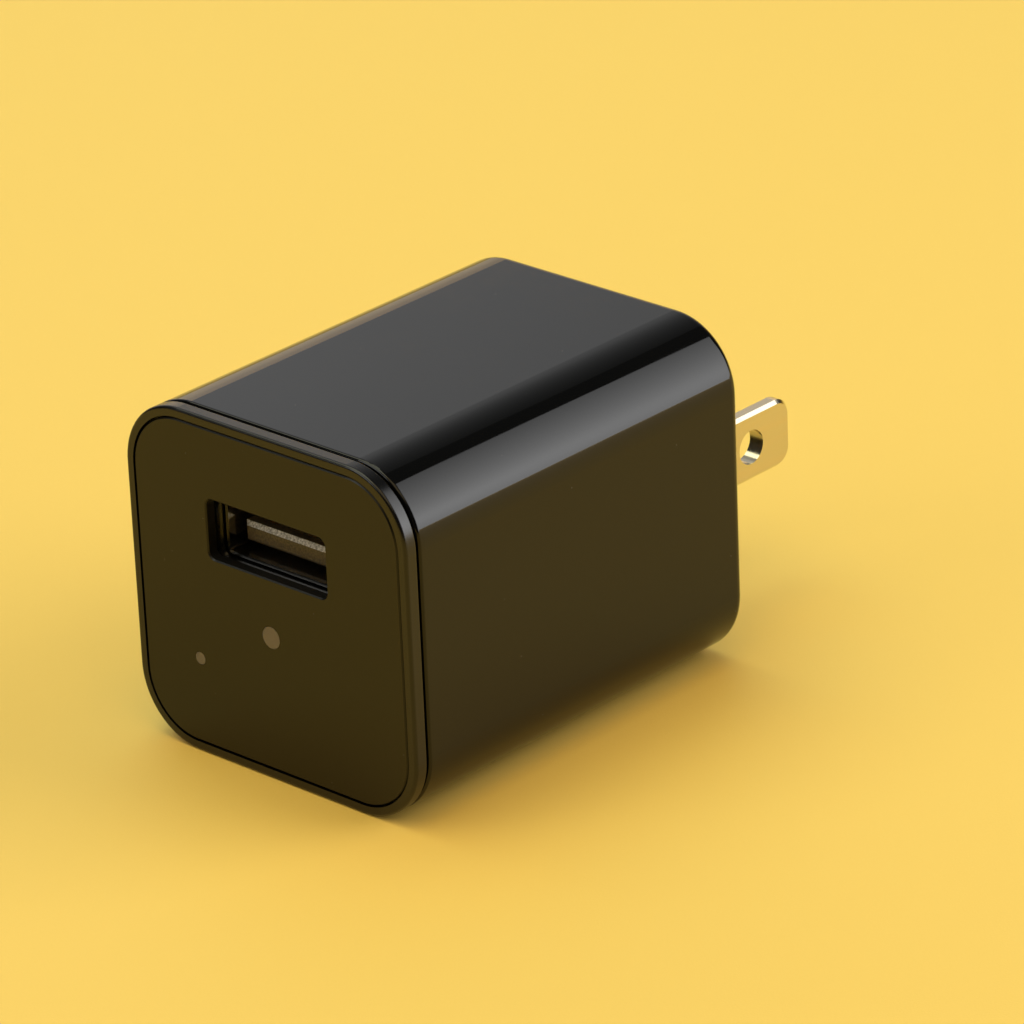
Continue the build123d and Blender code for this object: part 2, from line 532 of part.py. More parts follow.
with BuildPart() as usb_shell:
    with BuildSketch(section(USB_BOARD_FRONT, PORT_Z)):
        RectangleRounded(SHELL_OUTER_WIDTH, SHELL_OUTER_HEIGHT, SHELL_CORNER_R + SHELL_SHEET)
        RectangleRounded(SHELL_INNER_WIDTH, SHELL_INNER_HEIGHT, SHELL_CORNER_R, mode=Mode.SUBTRACT)
    extrude(amount=SHELL_LENGTH)
    # pairs of spring fingers in the floor and the roof, each bent inwards out of its own window
    for wall_side in (-1, 1):
        wall_z = PORT_Z + wall_side * (SHELL_INNER_HEIGHT + SHELL_SHEET) / 2
        crest_z = wall_z - wall_side * (FINGER_RISE + SHELL_SHEET / 2)
        with BuildSketch(section(FINGER_ROOT, wall_z)):
            with GridLocations(FINGER_SPACING, 0, 2, 1):
                Rectangle(FINGER_WIDTH + 2 * FINGER_GAP, 2 * SHELL_SHEET)
        extrude(amount=FINGER_LENGTH + FINGER_GAP, mode=Mode.SUBTRACT)
        for finger_x in (-FINGER_SPACING / 2, FINGER_SPACING / 2):
            with BuildSketch(Plane.YZ.offset(finger_x - FINGER_WIDTH / 2)):
                with BuildLine():
                    FilletPolyline(
                        (-FINGER_ROOT + FINGER_TUCK, wall_z),
                        (-FINGER_ROOT - FINGER_STRAIGHT, wall_z),
                        (-FINGER_ROOT - FINGER_LENGTH + FINGER_CREST_RUN, crest_z),
                        (-FINGER_ROOT - FINGER_LENGTH + FINGER_TIP_GAP, wall_z),
                        radius=FINGER_BEND_R,
                    )
                trace(line_width=FINGER_SHEET)
            extrude(amount=FINGER_WIDTH)
    # legs through the board
    with BuildSketch(section(USB_BOARD_REAR - SHELL_LEG_REACH, PORT_Z)):
        with GridLocations(SHELL_INNER_WIDTH + SHELL_SHEET, 0, 2, 1):
            Rectangle(SHELL_SHEET, SHELL_LEG_WIDTH)
    extrude(amount=SHELL_LEG_REACH + BOARD_THICKNESS + SHELL_LEG_ROOT)
save(usb_shell, "usb_shell")

with BuildPart() as usb_insulator:
    with BuildSketch(section(USB_BOARD_FRONT, PORT_Z)):
        RectangleRounded(
            SHELL_INNER_WIDTH - 2 * INSULATOR_CLEARANCE,
            SHELL_INNER_HEIGHT - 2 * INSULATOR_CLEARANCE,
            SHELL_CORNER_R,
        )
    extrude(amount=INSULATOR_BASE)
    with BuildSketch(section(INSULATOR_FRONT, (TONGUE_BOTTOM_Z + TONGUE_TOP_Z) / 2)):
        Rectangle(TONGUE_WIDTH, TONGUE_THICKNESS)
    extrude(amount=TONGUE_FRONT - INSULATOR_FRONT)
    chamfer(usb_insulator.faces().sort_by(Axis.Y)[0].edges(), TONGUE_NOSE_BEVEL)
    # slots that the contacts work in
    with BuildSketch(section(INSULATOR_FRONT, SLOT_FLOOR_Z + CONTACT_SLOT_DEPTH)):
        with Locations(*[(place, 0) for place in CONTACT_PLACES]):
            Rectangle(CONTACT_SLOT_WIDTH, 2 * CONTACT_SLOT_DEPTH)
    extrude(amount=TONGUE_FRONT - TONGUE_NOSE - INSULATOR_FRONT, mode=Mode.SUBTRACT)
    # ways through the base for the contacts' tails
    with BuildSketch(section(USB_BOARD_FRONT, CONTACT_ROOT_Z)):
        with Locations(*[(place, 0) for place in CONTACT_PLACES]):
            Rectangle(CONTACT_WIDTH, CONTACT_THICKNESS)
    extrude(amount=INSULATOR_BASE, mode=Mode.SUBTRACT)
save(usb_insulator, "usb_insulator")

# The arms bend at the base: each swings about its root, and its tail stays in the base.
CONTACT_ROOT = INSULATOR_FRONT + CONTACT_ROOT_GAP
CONTACT_TIP = TONGUE_FRONT - TONGUE_NOSE - CONTACT_TIP_GAP
for number, place in enumerate(CONTACT_PLACES, start=1):
    with BuildPart() as usb_contact:
        with BuildSketch(Plane.YZ.offset(place - CONTACT_WIDTH / 2)):
            with BuildLine():
                FilletPolyline(
                    (-CONTACT_ROOT, CONTACT_ROOT_Z),
                    (-CONTACT_TIP + CONTACT_TIP_RUN, TONGUE_TOP_Z + CONTACT_CROWN),
                    (-CONTACT_TIP, TONGUE_TOP_Z - CONTACT_TIP_DIP),
                    radius=CONTACT_BEND_R,
                )
            trace(line_width=CONTACT_THICKNESS)
        extrude(amount=CONTACT_WIDTH)
    save(usb_contact, f"usb_contact_{number}")

with BuildPart() as usb_contact_tails:
    with BuildSketch(section(USB_BOARD_REAR - TAIL_REACH, CONTACT_ROOT_Z)):
        with Locations(*[(place, 0) for place in CONTACT_PLACES]):
            Rectangle(CONTACT_WIDTH, CONTACT_THICKNESS)
    extrude(amount=INSULATOR_FRONT - USB_BOARD_REAR + TAIL_REACH)
save(usb_contact_tails, "usb_contact_tails")

# ================================================================== USB board and its link
LINK_PITCH = 2.0
LINK_PINS = 3
LINK_PIN = 0.5
LINK_HEADER_WIDTH = LINK_PITCH * LINK_PINS
LINK_HEADER_DEPTH = 1.9
LINK_HEADER_HEIGHT = 3.4
LINK_PIN_RISE = 2.4
LINK_PIN_Z = BOARD_TOP_Z + LINK_PIN_RISE
LINK_PIN_DISTANCE = USB_BOARD_FRONT + LINK_HEADER_DEPTH / 2
PIN_CLEARANCE = 0.2

with BuildPart() as usb_board:
    with BuildSketch(section(USB_BOARD_REAR, (USB_BOARD_TOP_Z + USB_BOARD_BOTTOM_Z) / 2)):
        RectangleRounded(USB_BOARD_WIDTH, USB_BOARD_TOP_Z - USB_BOARD_BOTTOM_Z, BOARD_CORNER_R)
    extrude(amount=BOARD_THICKNESS)
    with BuildSketch(section(USB_BOARD_REAR, PORT_Z)):
        with GridLocations(SHELL_INNER_WIDTH + SHELL_SHEET, 0, 2, 1):
            Rectangle(SHELL_SHEET + PIN_CLEARANCE, SHELL_LEG_WIDTH + PIN_CLEARANCE)
    extrude(amount=BOARD_THICKNESS, mode=Mode.SUBTRACT)
    with BuildSketch(section(USB_BOARD_REAR, CONTACT_ROOT_Z)):
        with Locations(*[(place, 0) for place in CONTACT_PLACES]):
            Rectangle(CONTACT_WIDTH + PIN_CLEARANCE, CONTACT_THICKNESS + PIN_CLEARANCE)
    extrude(amount=BOARD_THICKNESS, mode=Mode.SUBTRACT)
    with BuildSketch(section(USB_BOARD_REAR, LINK_PIN_Z)):
        with Locations((LINK_X, 0)):
            with GridLocations(LINK_PITCH, 0, LINK_PINS, 1):
                Circle(LEAD_HOLE_D / 2)
    extrude(amount=BOARD_THICKNESS, mode=Mode.SUBTRACT)
save(usb_board, "usb_board")

with BuildPart() as board_link_pins:
    for pin in range(LINK_PINS):
        pin_x = LINK_X + (pin - (LINK_PINS - 1) / 2) * LINK_PITCH
        with BuildSketch(Plane.YZ.offset(pin_x - LINK_PIN / 2)):
            with BuildLine():
                Polyline(
                    (-(USB_BOARD_REAR - LEAD_REACH), LINK_PIN_Z),
                    (-LINK_PIN_DISTANCE, LINK_PIN_Z),
                    (-LINK_PIN_DISTANCE, BOARD_BOTTOM_Z - LEAD_REACH),
                )
            trace(line_width=LINK_PIN)
        extrude(amount=LINK_PIN)
save(board_link_pins, "board_link_pins")

with BuildPart() as board_link_header:
    with BuildSketch(Plane.XY.offset(BOARD_TOP_Z)):
        with Locations((LINK_X, -LINK_PIN_DISTANCE)):
            Rectangle(LINK_HEADER_WIDTH, LINK_HEADER_DEPTH)
    extrude(amount=LINK_HEADER_HEIGHT)
    add(board_link_pins.part, mode=Mode.SUBTRACT)
save(board_link_header, "board_link_header")

# ================================================================== leaded parts on the main board
# Every lead that goes through the main board is noted here, so the board gets its hole.
lead_places = [
    (LINK_X + (pin - (LINK_PINS - 1) / 2) * LINK_PITCH, -LINK_PIN_DISTANCE) for pin in range(LINK_PINS)
]


def straight_leads(name, places, top_z):
    """Straight round leads, from top_z down through the board."""
    with BuildPart() as leads:
        with BuildSketch(Plane.XY.offset(BOARD_BOTTOM_Z - LEAD_REACH)):
            with Locations(*places):
                Circle(LEAD_D / 2)
        extrude(amount=top_z - BOARD_BOTTOM_Z + LEAD_REACH)
    save(leads, name)
    lead_places.extend(places)


CAN_WALL = 0.25
SLEEVE_WALL = 0.12
SEAL_HEIGHT = 1.8
SEAL_STAND = 0.3
CRIMP_DEPTH = 0.35
CRIMP_HEIGHT = 1.4
VENT_DEPTH = 0.12
VENT_WIDTH = 0.3
VENT_SPAN = 1.3              # times the capacitor's radius
CAN_TOP_BEVEL = 0.5
SLEEVE_BELOW_TOP = 0.6


def capacitor(name, centre, radius, height, lead_pitch):
    """An upright electrolytic capacitor: sleeve, crimped can, rubber seal and two leads."""
    can_r = radius - SLEEVE_WALL
    bottom_z = BOARD_TOP_Z + SEAL_STAND
    top_z = bottom_z + height
    with BuildPart() as can:
        with BuildSketch(Plane.XZ.offset(-centre[1])):
            with BuildLine():
                Polyline(
                    (centre[0] + can_r - CAN_WALL, bottom_z),
                    (centre[0] + can_r, bottom_z),
                    (centre[0] + can_r, bottom_z + CRIMP_HEIGHT - CRIMP_DEPTH),
                    (centre[0] + can_r - CRIMP_DEPTH, bottom_z + CRIMP_HEIGHT),
                    (centre[0] + can_r, bottom_z + CRIMP_HEIGHT + CRIMP_DEPTH),
                    (centre[0] + can_r, top_z - CAN_TOP_BEVEL),
                    (centre[0] + can_r - CAN_TOP_BEVEL, top_z),
                    (centre[0], top_z),
                    (centre[0], top_z - CAN_WALL),
                    (centre[0] + can_r - CAN_TOP_BEVEL - CAN_WALL, top_z - CAN_WALL),
                    (centre[0] + can_r - CAN_WALL, top_z - CAN_TOP_BEVEL - CAN_WALL),
                    (centre[0] + can_r - CAN_WALL, bottom_z + CRIMP_HEIGHT + CRIMP_DEPTH),
                    (centre[0] + can_r - CRIMP_DEPTH - CAN_WALL, bottom_z + CRIMP_HEIGHT),
                    (centre[0] + can_r - CAN_WALL, bottom_z + CRIMP_HEIGHT - CRIMP_DEPTH),
                    close=True,
                )
            make_face()
        revolve(axis=Axis((centre[0], centre[1], 0), (0, 0, 1)))
        # scored cross that lets the can vent
        with BuildSketch(Plane.XY.offset(top_z - VENT_DEPTH)):
            with Locations(centre):
                Rectangle(radius * VENT_SPAN, VENT_WIDTH)
                Rectangle(VENT_WIDTH, radius * VENT_SPAN)
        extrude(amount=VENT_DEPTH, mode=Mode.SUBTRACT)
    save(can, f"{name}_can")

    with BuildPart() as sleeve:
        with BuildSketch(Plane.XY.offset(bottom_z)):
            with Locations(centre):
                Circle(radius)
                Circle(can_r, mode=Mode.SUBTRACT)
        extrude(amount=height - SLEEVE_BELOW_TOP)
    save(sleeve, f"{name}_sleeve")

    with BuildPart() as seal:
        with BuildSketch(Plane.XY.offset(BOARD_TOP_Z)):
            with Locations(centre):
                Circle(can_r - CRIMP_DEPTH - CAN_WALL)
        extrude(amount=SEAL_STAND + SEAL_HEIGHT)
        with BuildSketch(Plane.XY.offset(BOARD_TOP_Z)):
            with Locations(centre):
                with GridLocations(lead_pitch, 0, 2, 1):
                    Circle(LEAD_D / 2)
        extrude(amount=SEAL_STAND + SEAL_HEIGHT, mode=Mode.SUBTRACT)
    save(seal, f"{name}_seal")

    places = [(centre[0] - lead_pitch / 2, centre[1]), (centre[0] + lead_pitch / 2, centre[1])]
    straight_leads(f"{name}_leads", places, BOARD_TOP_Z + SEAL_STAND + SEAL_HEIGHT)


for bulk_name, bulk_at in (("front", FRONT_BULK_AT), ("rear", REAR_BULK_AT)):
    capacitor(
        f"{bulk_name}_bulk_capacitor", bulk_at, BULK_CAPACITOR_R, BULK_CAPACITOR_HEIGHT, BULK_LEAD_PITCH
    )
capacitor(
    "output_capacitor", OUTPUT_CAPACITOR_AT, OUTPUT_CAPACITOR_R, OUTPUT_CAPACITOR_HEIGHT, OUTPUT_LEAD_PITCH
)

# Inductor: a drum core with its winding, standing on two leads.
INDUCTOR_R = 2.1
INDUCTOR_HEIGHT = 5.6
INDUCTOR_CHEEK = 0.9
INDUCTOR_WAIST_R = 1.2
INDUCTOR_WINDING_R = 1.8
INDUCTOR_LEAD_PITCH = 2.4
with BuildPart() as inductor_core:
    for cheek_z, cheek_r, cheek_height in (
        (BOARD_TOP_Z, INDUCTOR_R, INDUCTOR_CHEEK),
        (BOARD_TOP_Z + INDUCTOR_CHEEK, INDUCTOR_WAIST_R, INDUCTOR_HEIGHT - 2 * INDUCTOR_CHEEK),
        (BOARD_TOP_Z + INDUCTOR_HEIGHT - INDUCTOR_CHEEK, INDUCTOR_R, INDUCTOR_CHEEK),
    ):
        with BuildSketch(Plane.XY.offset(cheek_z)):
            with Locations(INDUCTOR_AT):
                Circle(cheek_r)
        extrude(amount=cheek_height)
save(inductor_core, "inductor_core")

with BuildPart() as inductor_winding:
    with BuildSketch(Plane.XY.offset(BOARD_TOP_Z + INDUCTOR_CHEEK)):
        with Locations(INDUCTOR_AT):
            Circle(INDUCTOR_WINDING_R)
            Circle(INDUCTOR_WAIST_R, mode=Mode.SUBTRACT)
    extrude(amount=INDUCTOR_HEIGHT - 2 * INDUCTOR_CHEEK)
save(inductor_winding, "inductor_winding")
inductor_lead_places = [(INDUCTOR_X + end * INDUCTOR_LEAD_PITCH / 2, INDUCTOR_Y) for end in (-1, 1)]
straight_leads("inductor_leads", inductor_lead_places, BOARD_TOP_Z)

# Y capacitor: an upright ceramic disc on two leads.
DISC_R = 3.1
DISC_THICKNESS = 2.6
DISC_STAND = 0.4
DISC_EDGE_R = 1.04
DISC_LEAD_PITCH = 3.0
with BuildPart() as y_capacitor:
    with BuildSketch(Plane.YZ.offset(Y_CAPACITOR_AT[0] - DISC_THICKNESS / 2)):
        with Locations((Y_CAPACITOR_AT[1], BOARD_TOP_Z + DISC_STAND + DISC_R)):
            Circle(DISC_R)
    extrude(amount=DISC_THICKNESS)
    fillet(y_capacitor.edges().filter_by(GeomType.CIRCLE), DISC_EDGE_R)
save(y_capacitor, "y_capacitor")
# its leads rise into the disc's coating, so each ends where the disc begins
with BuildPart() as y_capacitor_leads:
    for lead_side in (-1, 1):
        lead_y = Y_CAPACITOR_Y + lead_side * DISC_LEAD_PITCH / 2
        with BuildSketch(Plane.XY.offset(BOARD_BOTTOM_Z - LEAD_REACH)):
            with Locations((Y_CAPACITOR_AT[0], lead_y)):
                Circle(LEAD_D / 2)
        extrude(amount=BOARD_THICKNESS + LEAD_REACH + DISC_STAND + DISC_R / 2)
        lead_places.append((Y_CAPACITOR_AT[0], lead_y))
    add(y_capacitor.part, mode=Mode.SUBTRACT)
save(y_capacitor_leads, "y_capacitor_leads")

# Fusible resistor: an axial body that lies over the board on bent leads.
FUSE_R = 1.3
FUSE_LENGTH = 6.0
FUSE_STAND = 0.2
FUSE_LEAD_SPAN = 7.6
FUSE_EDGE_R = 0.4
FUSE_LEAD_BEND_R = 0.5
fuse_z = BOARD_TOP_Z + FUSE_STAND + FUSE_R
with BuildPart() as fuse_resistor:
    with BuildSketch(Plane.YZ.offset(FUSE_AT[0] - FUSE_LENGTH / 2)):
        with Locations((FUSE_AT[1], fuse_z)):
            Circle(FUSE_R)
    extrude(amount=FUSE_LENGTH)
    fillet(fuse_resistor.edges().filter_by(GeomType.CIRCLE), FUSE_EDGE_R)
save(fuse_resistor, "fuse_resistor")

with BuildPart() as fuse_resistor_leads:
    for lead_side in (-1, 1):
        lead_x = FUSE_AT[0] + lead_side * FUSE_LEAD_SPAN / 2
        with BuildLine():
            FilletPolyline(
                (FUSE_AT[0] + lead_side * FUSE_LENGTH / 2, FUSE_AT[1], fuse_z),
                (lead_x, FUSE_AT[1], fuse_z),
                (lead_x, FUSE_AT[1], BOARD_BOTTOM_Z - LEAD_REACH),
                radius=FUSE_LEAD_BEND_R,
            )
        with BuildSketch(Plane(origin=(lead_x, FUSE_AT[1], BOARD_BOTTOM_Z - LEAD_REACH), z_dir=(0, 0, 1))):
            Circle(LEAD_D / 2)
        sweep()
        lead_places.append((lead_x, FUSE_AT[1]))
save(fuse_resistor_leads, "fuse_resistor_leads")

# ================================================================== transformer
CORE_HEIGHT = 6.0
CORE_BACK = 1.8
CORE_CENTRE_LEG = 3.6
CORE_OUTER_LEG = 1.8
BOBBIN_WALL = 0.5
BOBBIN_CLEARANCE = 0.1
BOBBIN_FLANGE = 0.7
BOBBIN_FOOT = 3.0
BOBBIN_FOOT_DEPTH = 2.4
BOBBIN_FLANGE_MARGIN = 0.2
BOBBIN_FLANGE_R = 0.8
BOBBIN_BRIDGE = 1.2
CORE_STAND = 0.1
WINDING_MARGIN = 0.45
WINDING_CORNER_R = 1.4
PIN_ROOF = 0.6               # bobbin material over the top of a pin
TAPE_HEIGHT = 4.4
PIN_ROWS = ((-1, 4), (1, 3))
PIN_PITCH = 2.6
core_z = BOARD_TOP_Z + BOBBIN_FOOT + CORE_STAND + CORE_HEIGHT / 2
leg_gap = (CORE_WIDTH - CORE_CENTRE_LEG - 2 * CORE_OUTER_LEG) / 2
tube_width = CORE_CENTRE_LEG + 2 * (BOBBIN_WALL + BOBBIN_CLEARANCE)
tube_height = CORE_HEIGHT + 2 * (BOBBIN_WALL + BOBBIN_CLEARANCE)
flange_width = CORE_CENTRE_LEG + 2 * (leg_gap - BOBBIN_FLANGE_MARGIN)
flange_height = CORE_HEIGHT + 2 * (leg_gap - BOBBIN_FLANGE_MARGIN)
bobbin_length = CORE_LENGTH - 2 * CORE_BACK - 2 * BOBBIN_FLANGE_MARGIN

for end_name, end in (("front", -1), ("rear", 1)):
    with BuildPart() as transformer_core:
        with BuildSketch(Plane.XY.offset(core_z - CORE_HEIGHT / 2)):
            with Locations((TRANSFORMER_X, TRANSFORMER_Y + end * (CORE_LENGTH - CORE_BACK) / 2)):
                Rectangle(CORE_WIDTH, CORE_BACK)
            with Locations((TRANSFORMER_X, TRANSFORMER_Y + end * (CORE_LENGTH - CORE_BACK) / 4)):
                Rectangle(CORE_CENTRE_LEG, (CORE_LENGTH - CORE_BACK) / 2)
                with GridLocations(CORE_WIDTH - CORE_OUTER_LEG, 0, 2, 1):
                    Rectangle(CORE_OUTER_LEG, (CORE_LENGTH - CORE_BACK) / 2)
        extrude(amount=CORE_HEIGHT)
    save(transformer_core, f"transformer_core_{end_name}")

with BuildPart() as transformer_bobbin:
    with BuildSketch(section(-TRANSFORMER_Y - bobbin_length / 2, core_z)):
        with Locations((TRANSFORMER_X, 0)):
            Rectangle(tube_width, tube_height)
    extrude(amount=bobbin_length)
    for flange_start in (-bobbin_length / 2, bobbin_length / 2 - BOBBIN_FLANGE):
        with BuildSketch(section(-TRANSFORMER_Y + flange_start, core_z)):
            with Locations((TRANSFORMER_X, 0)):
                RectangleRounded(flange_width, flange_height, BOBBIN_FLANGE_R)
        extrude(amount=BOBBIN_FLANGE)
    # feet under the core that carry the pins
    for end in (-1, 1):
        foot_y = TRANSFORMER_Y + end * (CORE_LENGTH - BOBBIN_FOOT_DEPTH) / 2
        with BuildSketch(Plane.XY.offset(BOARD_TOP_Z)):
            with Locations((TRANSFORMER_X, foot_y)):
                Rectangle(CORE_WIDTH, BOBBIN_FOOT_DEPTH)
        extrude(amount=BOBBIN_FOOT)
        bridge_y = TRANSFORMER_Y + end * (bobbin_length - BOBBIN_FLANGE) / 2
        with BuildSketch(Plane.XY.offset(BOARD_TOP_Z + BOBBIN_FOOT - BOBBIN_BRIDGE)):
            with Locations((TRANSFORMER_X, (foot_y + bridge_y) / 2)):
                Rectangle(flange_width, abs(foot_y - bridge_y) + BOBBIN_FLANGE)
        extrude(amount=BOBBIN_BRIDGE)
    with BuildSketch(section(-TRANSFORMER_Y - bobbin_length, core_z)):
        with Locations((TRANSFORMER_X, 0)):
            Rectangle(CORE_CENTRE_LEG + 2 * BOBBIN_CLEARANCE, CORE_HEIGHT + 2 * BOBBIN_CLEARANCE)
    extrude(amount=2 * bobbin_length, mode=Mode.SUBTRACT)

transformer_pin_places = []
for end, pin_count in PIN_ROWS:
    row_y = TRANSFORMER_Y + end * (CORE_LENGTH - BOBBIN_FOOT_DEPTH) / 2
    for pin in range(pin_count):
        pin_x = TRANSFORMER_X + (pin - (pin_count - 1) / 2) * PIN_PITCH
        transformer_pin_places.append((pin_x, row_y))
with BuildPart() as pin_bores:
    with BuildSketch(Plane.XY.offset(BOARD_TOP_Z)):
        with Locations(*transformer_pin_places):
            Circle(LEAD_D / 2)
    extrude(amount=BOBBIN_FOOT - PIN_ROOF)
with BuildPart() as bored_bobbin:
    add(transformer_bobbin.part)
    add(pin_bores.part, mode=Mode.SUBTRACT)
save(bored_bobbin, "transformer_bobbin")
straight_leads("transformer_pins", transformer_pin_places, BOARD_TOP_Z + BOBBIN_FOOT - PIN_ROOF)

with BuildPart() as transformer_winding:
    with BuildSketch(section(-TRANSFORMER_Y - bobbin_length / 2 + BOBBIN_FLANGE, core_z)):
        with Locations((TRANSFORMER_X, 0)):
            RectangleRounded(
                flange_width - 2 * WINDING_MARGIN,
                flange_height - 2 * WINDING_MARGIN,
                WINDING_CORNER_R,
            )
            Rectangle(tube_width, tube_height, mode=Mode.SUBTRACT)
    extrude(amount=bobbin_length - 2 * BOBBIN_FLANGE)
save(transformer_winding, "transformer_winding")

with BuildPart() as transformer_tape:
    with BuildSketch(Plane.XY.offset(core_z - TAPE_HEIGHT / 2)):
        with Locations((TRANSFORMER_X, TRANSFORMER_Y)):
            Rectangle(CORE_WIDTH + 2 * TAPE_THICKNESS, CORE_LENGTH + 2 * TAPE_THICKNESS)
            Rectangle(CORE_WIDTH, CORE_LENGTH, mode=Mode.SUBTRACT)
    extrude(amount=TAPE_HEIGHT)
save(transformer_tape, "transformer_tape")

# ================================================================== surface-mount parts
CHIP_STAND = 0.1
CHIP_BEVEL = 0.2
CHIP_LEAD_SHEET = 0.2
CHIP_LEAD_RISE = 0.7
CHIP_LEAD_SHOULDER = 0.3
CHIP_LEAD_KNEE = 0.5
CHIP_LEAD_SPAN = 1.1
BRIDGE_BODY = (4.7, 3.9, 1.5)
BRIDGE_LEAD_PITCH = 2.5
BRIDGE_LEAD_WIDTH = 0.7
CONTROLLER_BODY = (4.9, 3.9, 1.5)
CONTROLLER_LEAD_PITCH = 1.27
CONTROLLER_LEAD_WIDTH = 0.42
DIODE_BODY = (DIODE_LENGTH, 2.6, 2.1)
DIODE_TAB_WIDTH = 1.4
DIODE_TAB_HEIGHT = 0.9
RESISTOR_BODY = (1.6, 0.8, 0.5)
CERAMIC_BODY = (1.6, 0.8, 0.8)


def chip_body(name, centre, size, face_z, side):
    """A moulded chip on the board's upper (side 1) or lower (side -1) face."""
    length, width, height = size
    with BuildPart() as chip:
        with BuildSketch(Plane.XY.offset(face_z + side * CHIP_STAND)):
            with Locations(centre):
                Rectangle(length, width)
        extrude(amount=side * (height - CHIP_STAND))
        far_edges = chip.edges().filter_by(Axis.Z, reverse=True).group_by(Axis.Z)[-1 if side > 0 else 0]
        chamfer(far_edges, CHIP_BEVEL)
    save(chip, name)


def chip_leads(name, centre, size, pitch, per_side, lead_width, face_z, side):
    """Bent leads from the chip's two long sides down to the board."""
    foot_z = face_z + side * CHIP_LEAD_SHEET / 2
    root_z = face_z + side * CHIP_LEAD_RISE
    with BuildPart() as leads:
        for lead_side in (-1, 1):
            for lead in range(per_side):
                lead_x = centre[0] + (lead - (per_side - 1) / 2) * pitch
                root_y = centre[1] + lead_side * size[1] / 2
                with BuildSketch(Plane.YZ.offset(lead_x - lead_width / 2)):
                    with BuildLine():
                        Polyline(
                            (root_y, root_z),
                            (root_y + lead_side * CHIP_LEAD_SHOULDER, root_z),
                            (root_y + lead_side * CHIP_LEAD_KNEE, foot_z),
                            (root_y + lead_side * CHIP_LEAD_SPAN, foot_z),
                        )
                    trace(line_width=CHIP_LEAD_SHEET)
                extrude(amount=lead_width)
    save(leads, name)


chip_body("bridge_rectifier", BRIDGE_AT, BRIDGE_BODY, BOARD_BOTTOM_Z, -1)
chip_leads(
    "bridge_rectifier_leads", BRIDGE_AT, BRIDGE_BODY, BRIDGE_LEAD_PITCH, 2, BRIDGE_LEAD_WIDTH,
    BOARD_BOTTOM_Z, -1,
)
chip_body("controller_chip", CONTROLLER_AT, CONTROLLER_BODY, BOARD_BOTTOM_Z, -1)
chip_leads(
    "controller_chip_leads", CONTROLLER_AT, CONTROLLER_BODY, CONTROLLER_LEAD_PITCH, 4, CONTROLLER_LEAD_WIDTH,
    BOARD_BOTTOM_Z, -1,
)
chip_body("output_diode", DIODE_AT, DIODE_BODY, BOARD_TOP_Z, 1)

with BuildPart() as output_diode_tabs:
    with BuildSketch(Plane.XY.offset(BOARD_TOP_Z)):
        with Locations(DIODE_AT):
            with GridLocations(DIODE_TAB_SPAN, 0, 2, 1):
                Rectangle(DIODE_TAB_LENGTH, DIODE_TAB_WIDTH)
    extrude(amount=DIODE_TAB_HEIGHT)
save(output_diode_tabs, "output_diode_tabs")


def chip_group(name, places, size, face_z):
    """A group of small two-ended chips on the board's lower face."""
    with BuildPart() as group:
        with BuildSketch(Plane.XY.offset(face_z)):
            with Locations(*places):
                Rectangle(size[0], size[1])
        extrude(amount=-size[2])
    save(group, name)


chip_group("chip_resistors", CHIP_RESISTOR_PLACES, RESISTOR_BODY, BOARD_BOTTOM_Z)
chip_group("chip_capacitors", CHIP_CAPACITOR_PLACES, CERAMIC_BODY, BOARD_BOTTOM_Z)

# ================================================================== main board and its insulation
with BuildPart() as main_board:
    with BuildSketch(Plane.XY.offset(BOARD_BOTTOM_Z)):
        with Locations((0, -(BOARD_FRONT_DISTANCE + BOARD_REAR_DISTANCE) / 2)):
            RectangleRounded(
                2 * BOARD_HALF_WIDTH, BOARD_FRONT_DISTANCE - BOARD_REAR_DISTANCE, BOARD_CORNER_R
            )
        with Locations(*lead_places):
            Circle(LEAD_HOLE_D / 2, mode=Mode.SUBTRACT)
    extrude(amount=BOARD_THICKNESS)
save(main_board, "main_board")

with BuildPart() as insulation_sheet:
    with BuildSketch(Plane.XY.offset(FLOOR_Z)):
        with Locations((0, -(BOARD_FRONT_DISTANCE + REAR_WALL) / 2)):
            Rectangle(
                INNER_WIDTH - 2 * INNER_CORNER_R - 2 * SHEET_MARGIN,
                BOARD_FRONT_DISTANCE - REAR_WALL - 2 * SHEET_MARGIN,
            )
    extrude(amount=SHEET_THICKNESS)
save(insulation_sheet, "insulation_sheet")
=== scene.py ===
import math

import bmesh
import bpy
from bpy.props import FloatProperty, FloatVectorProperty, IntProperty, PointerProperty
from mathutils import Matrix, Vector


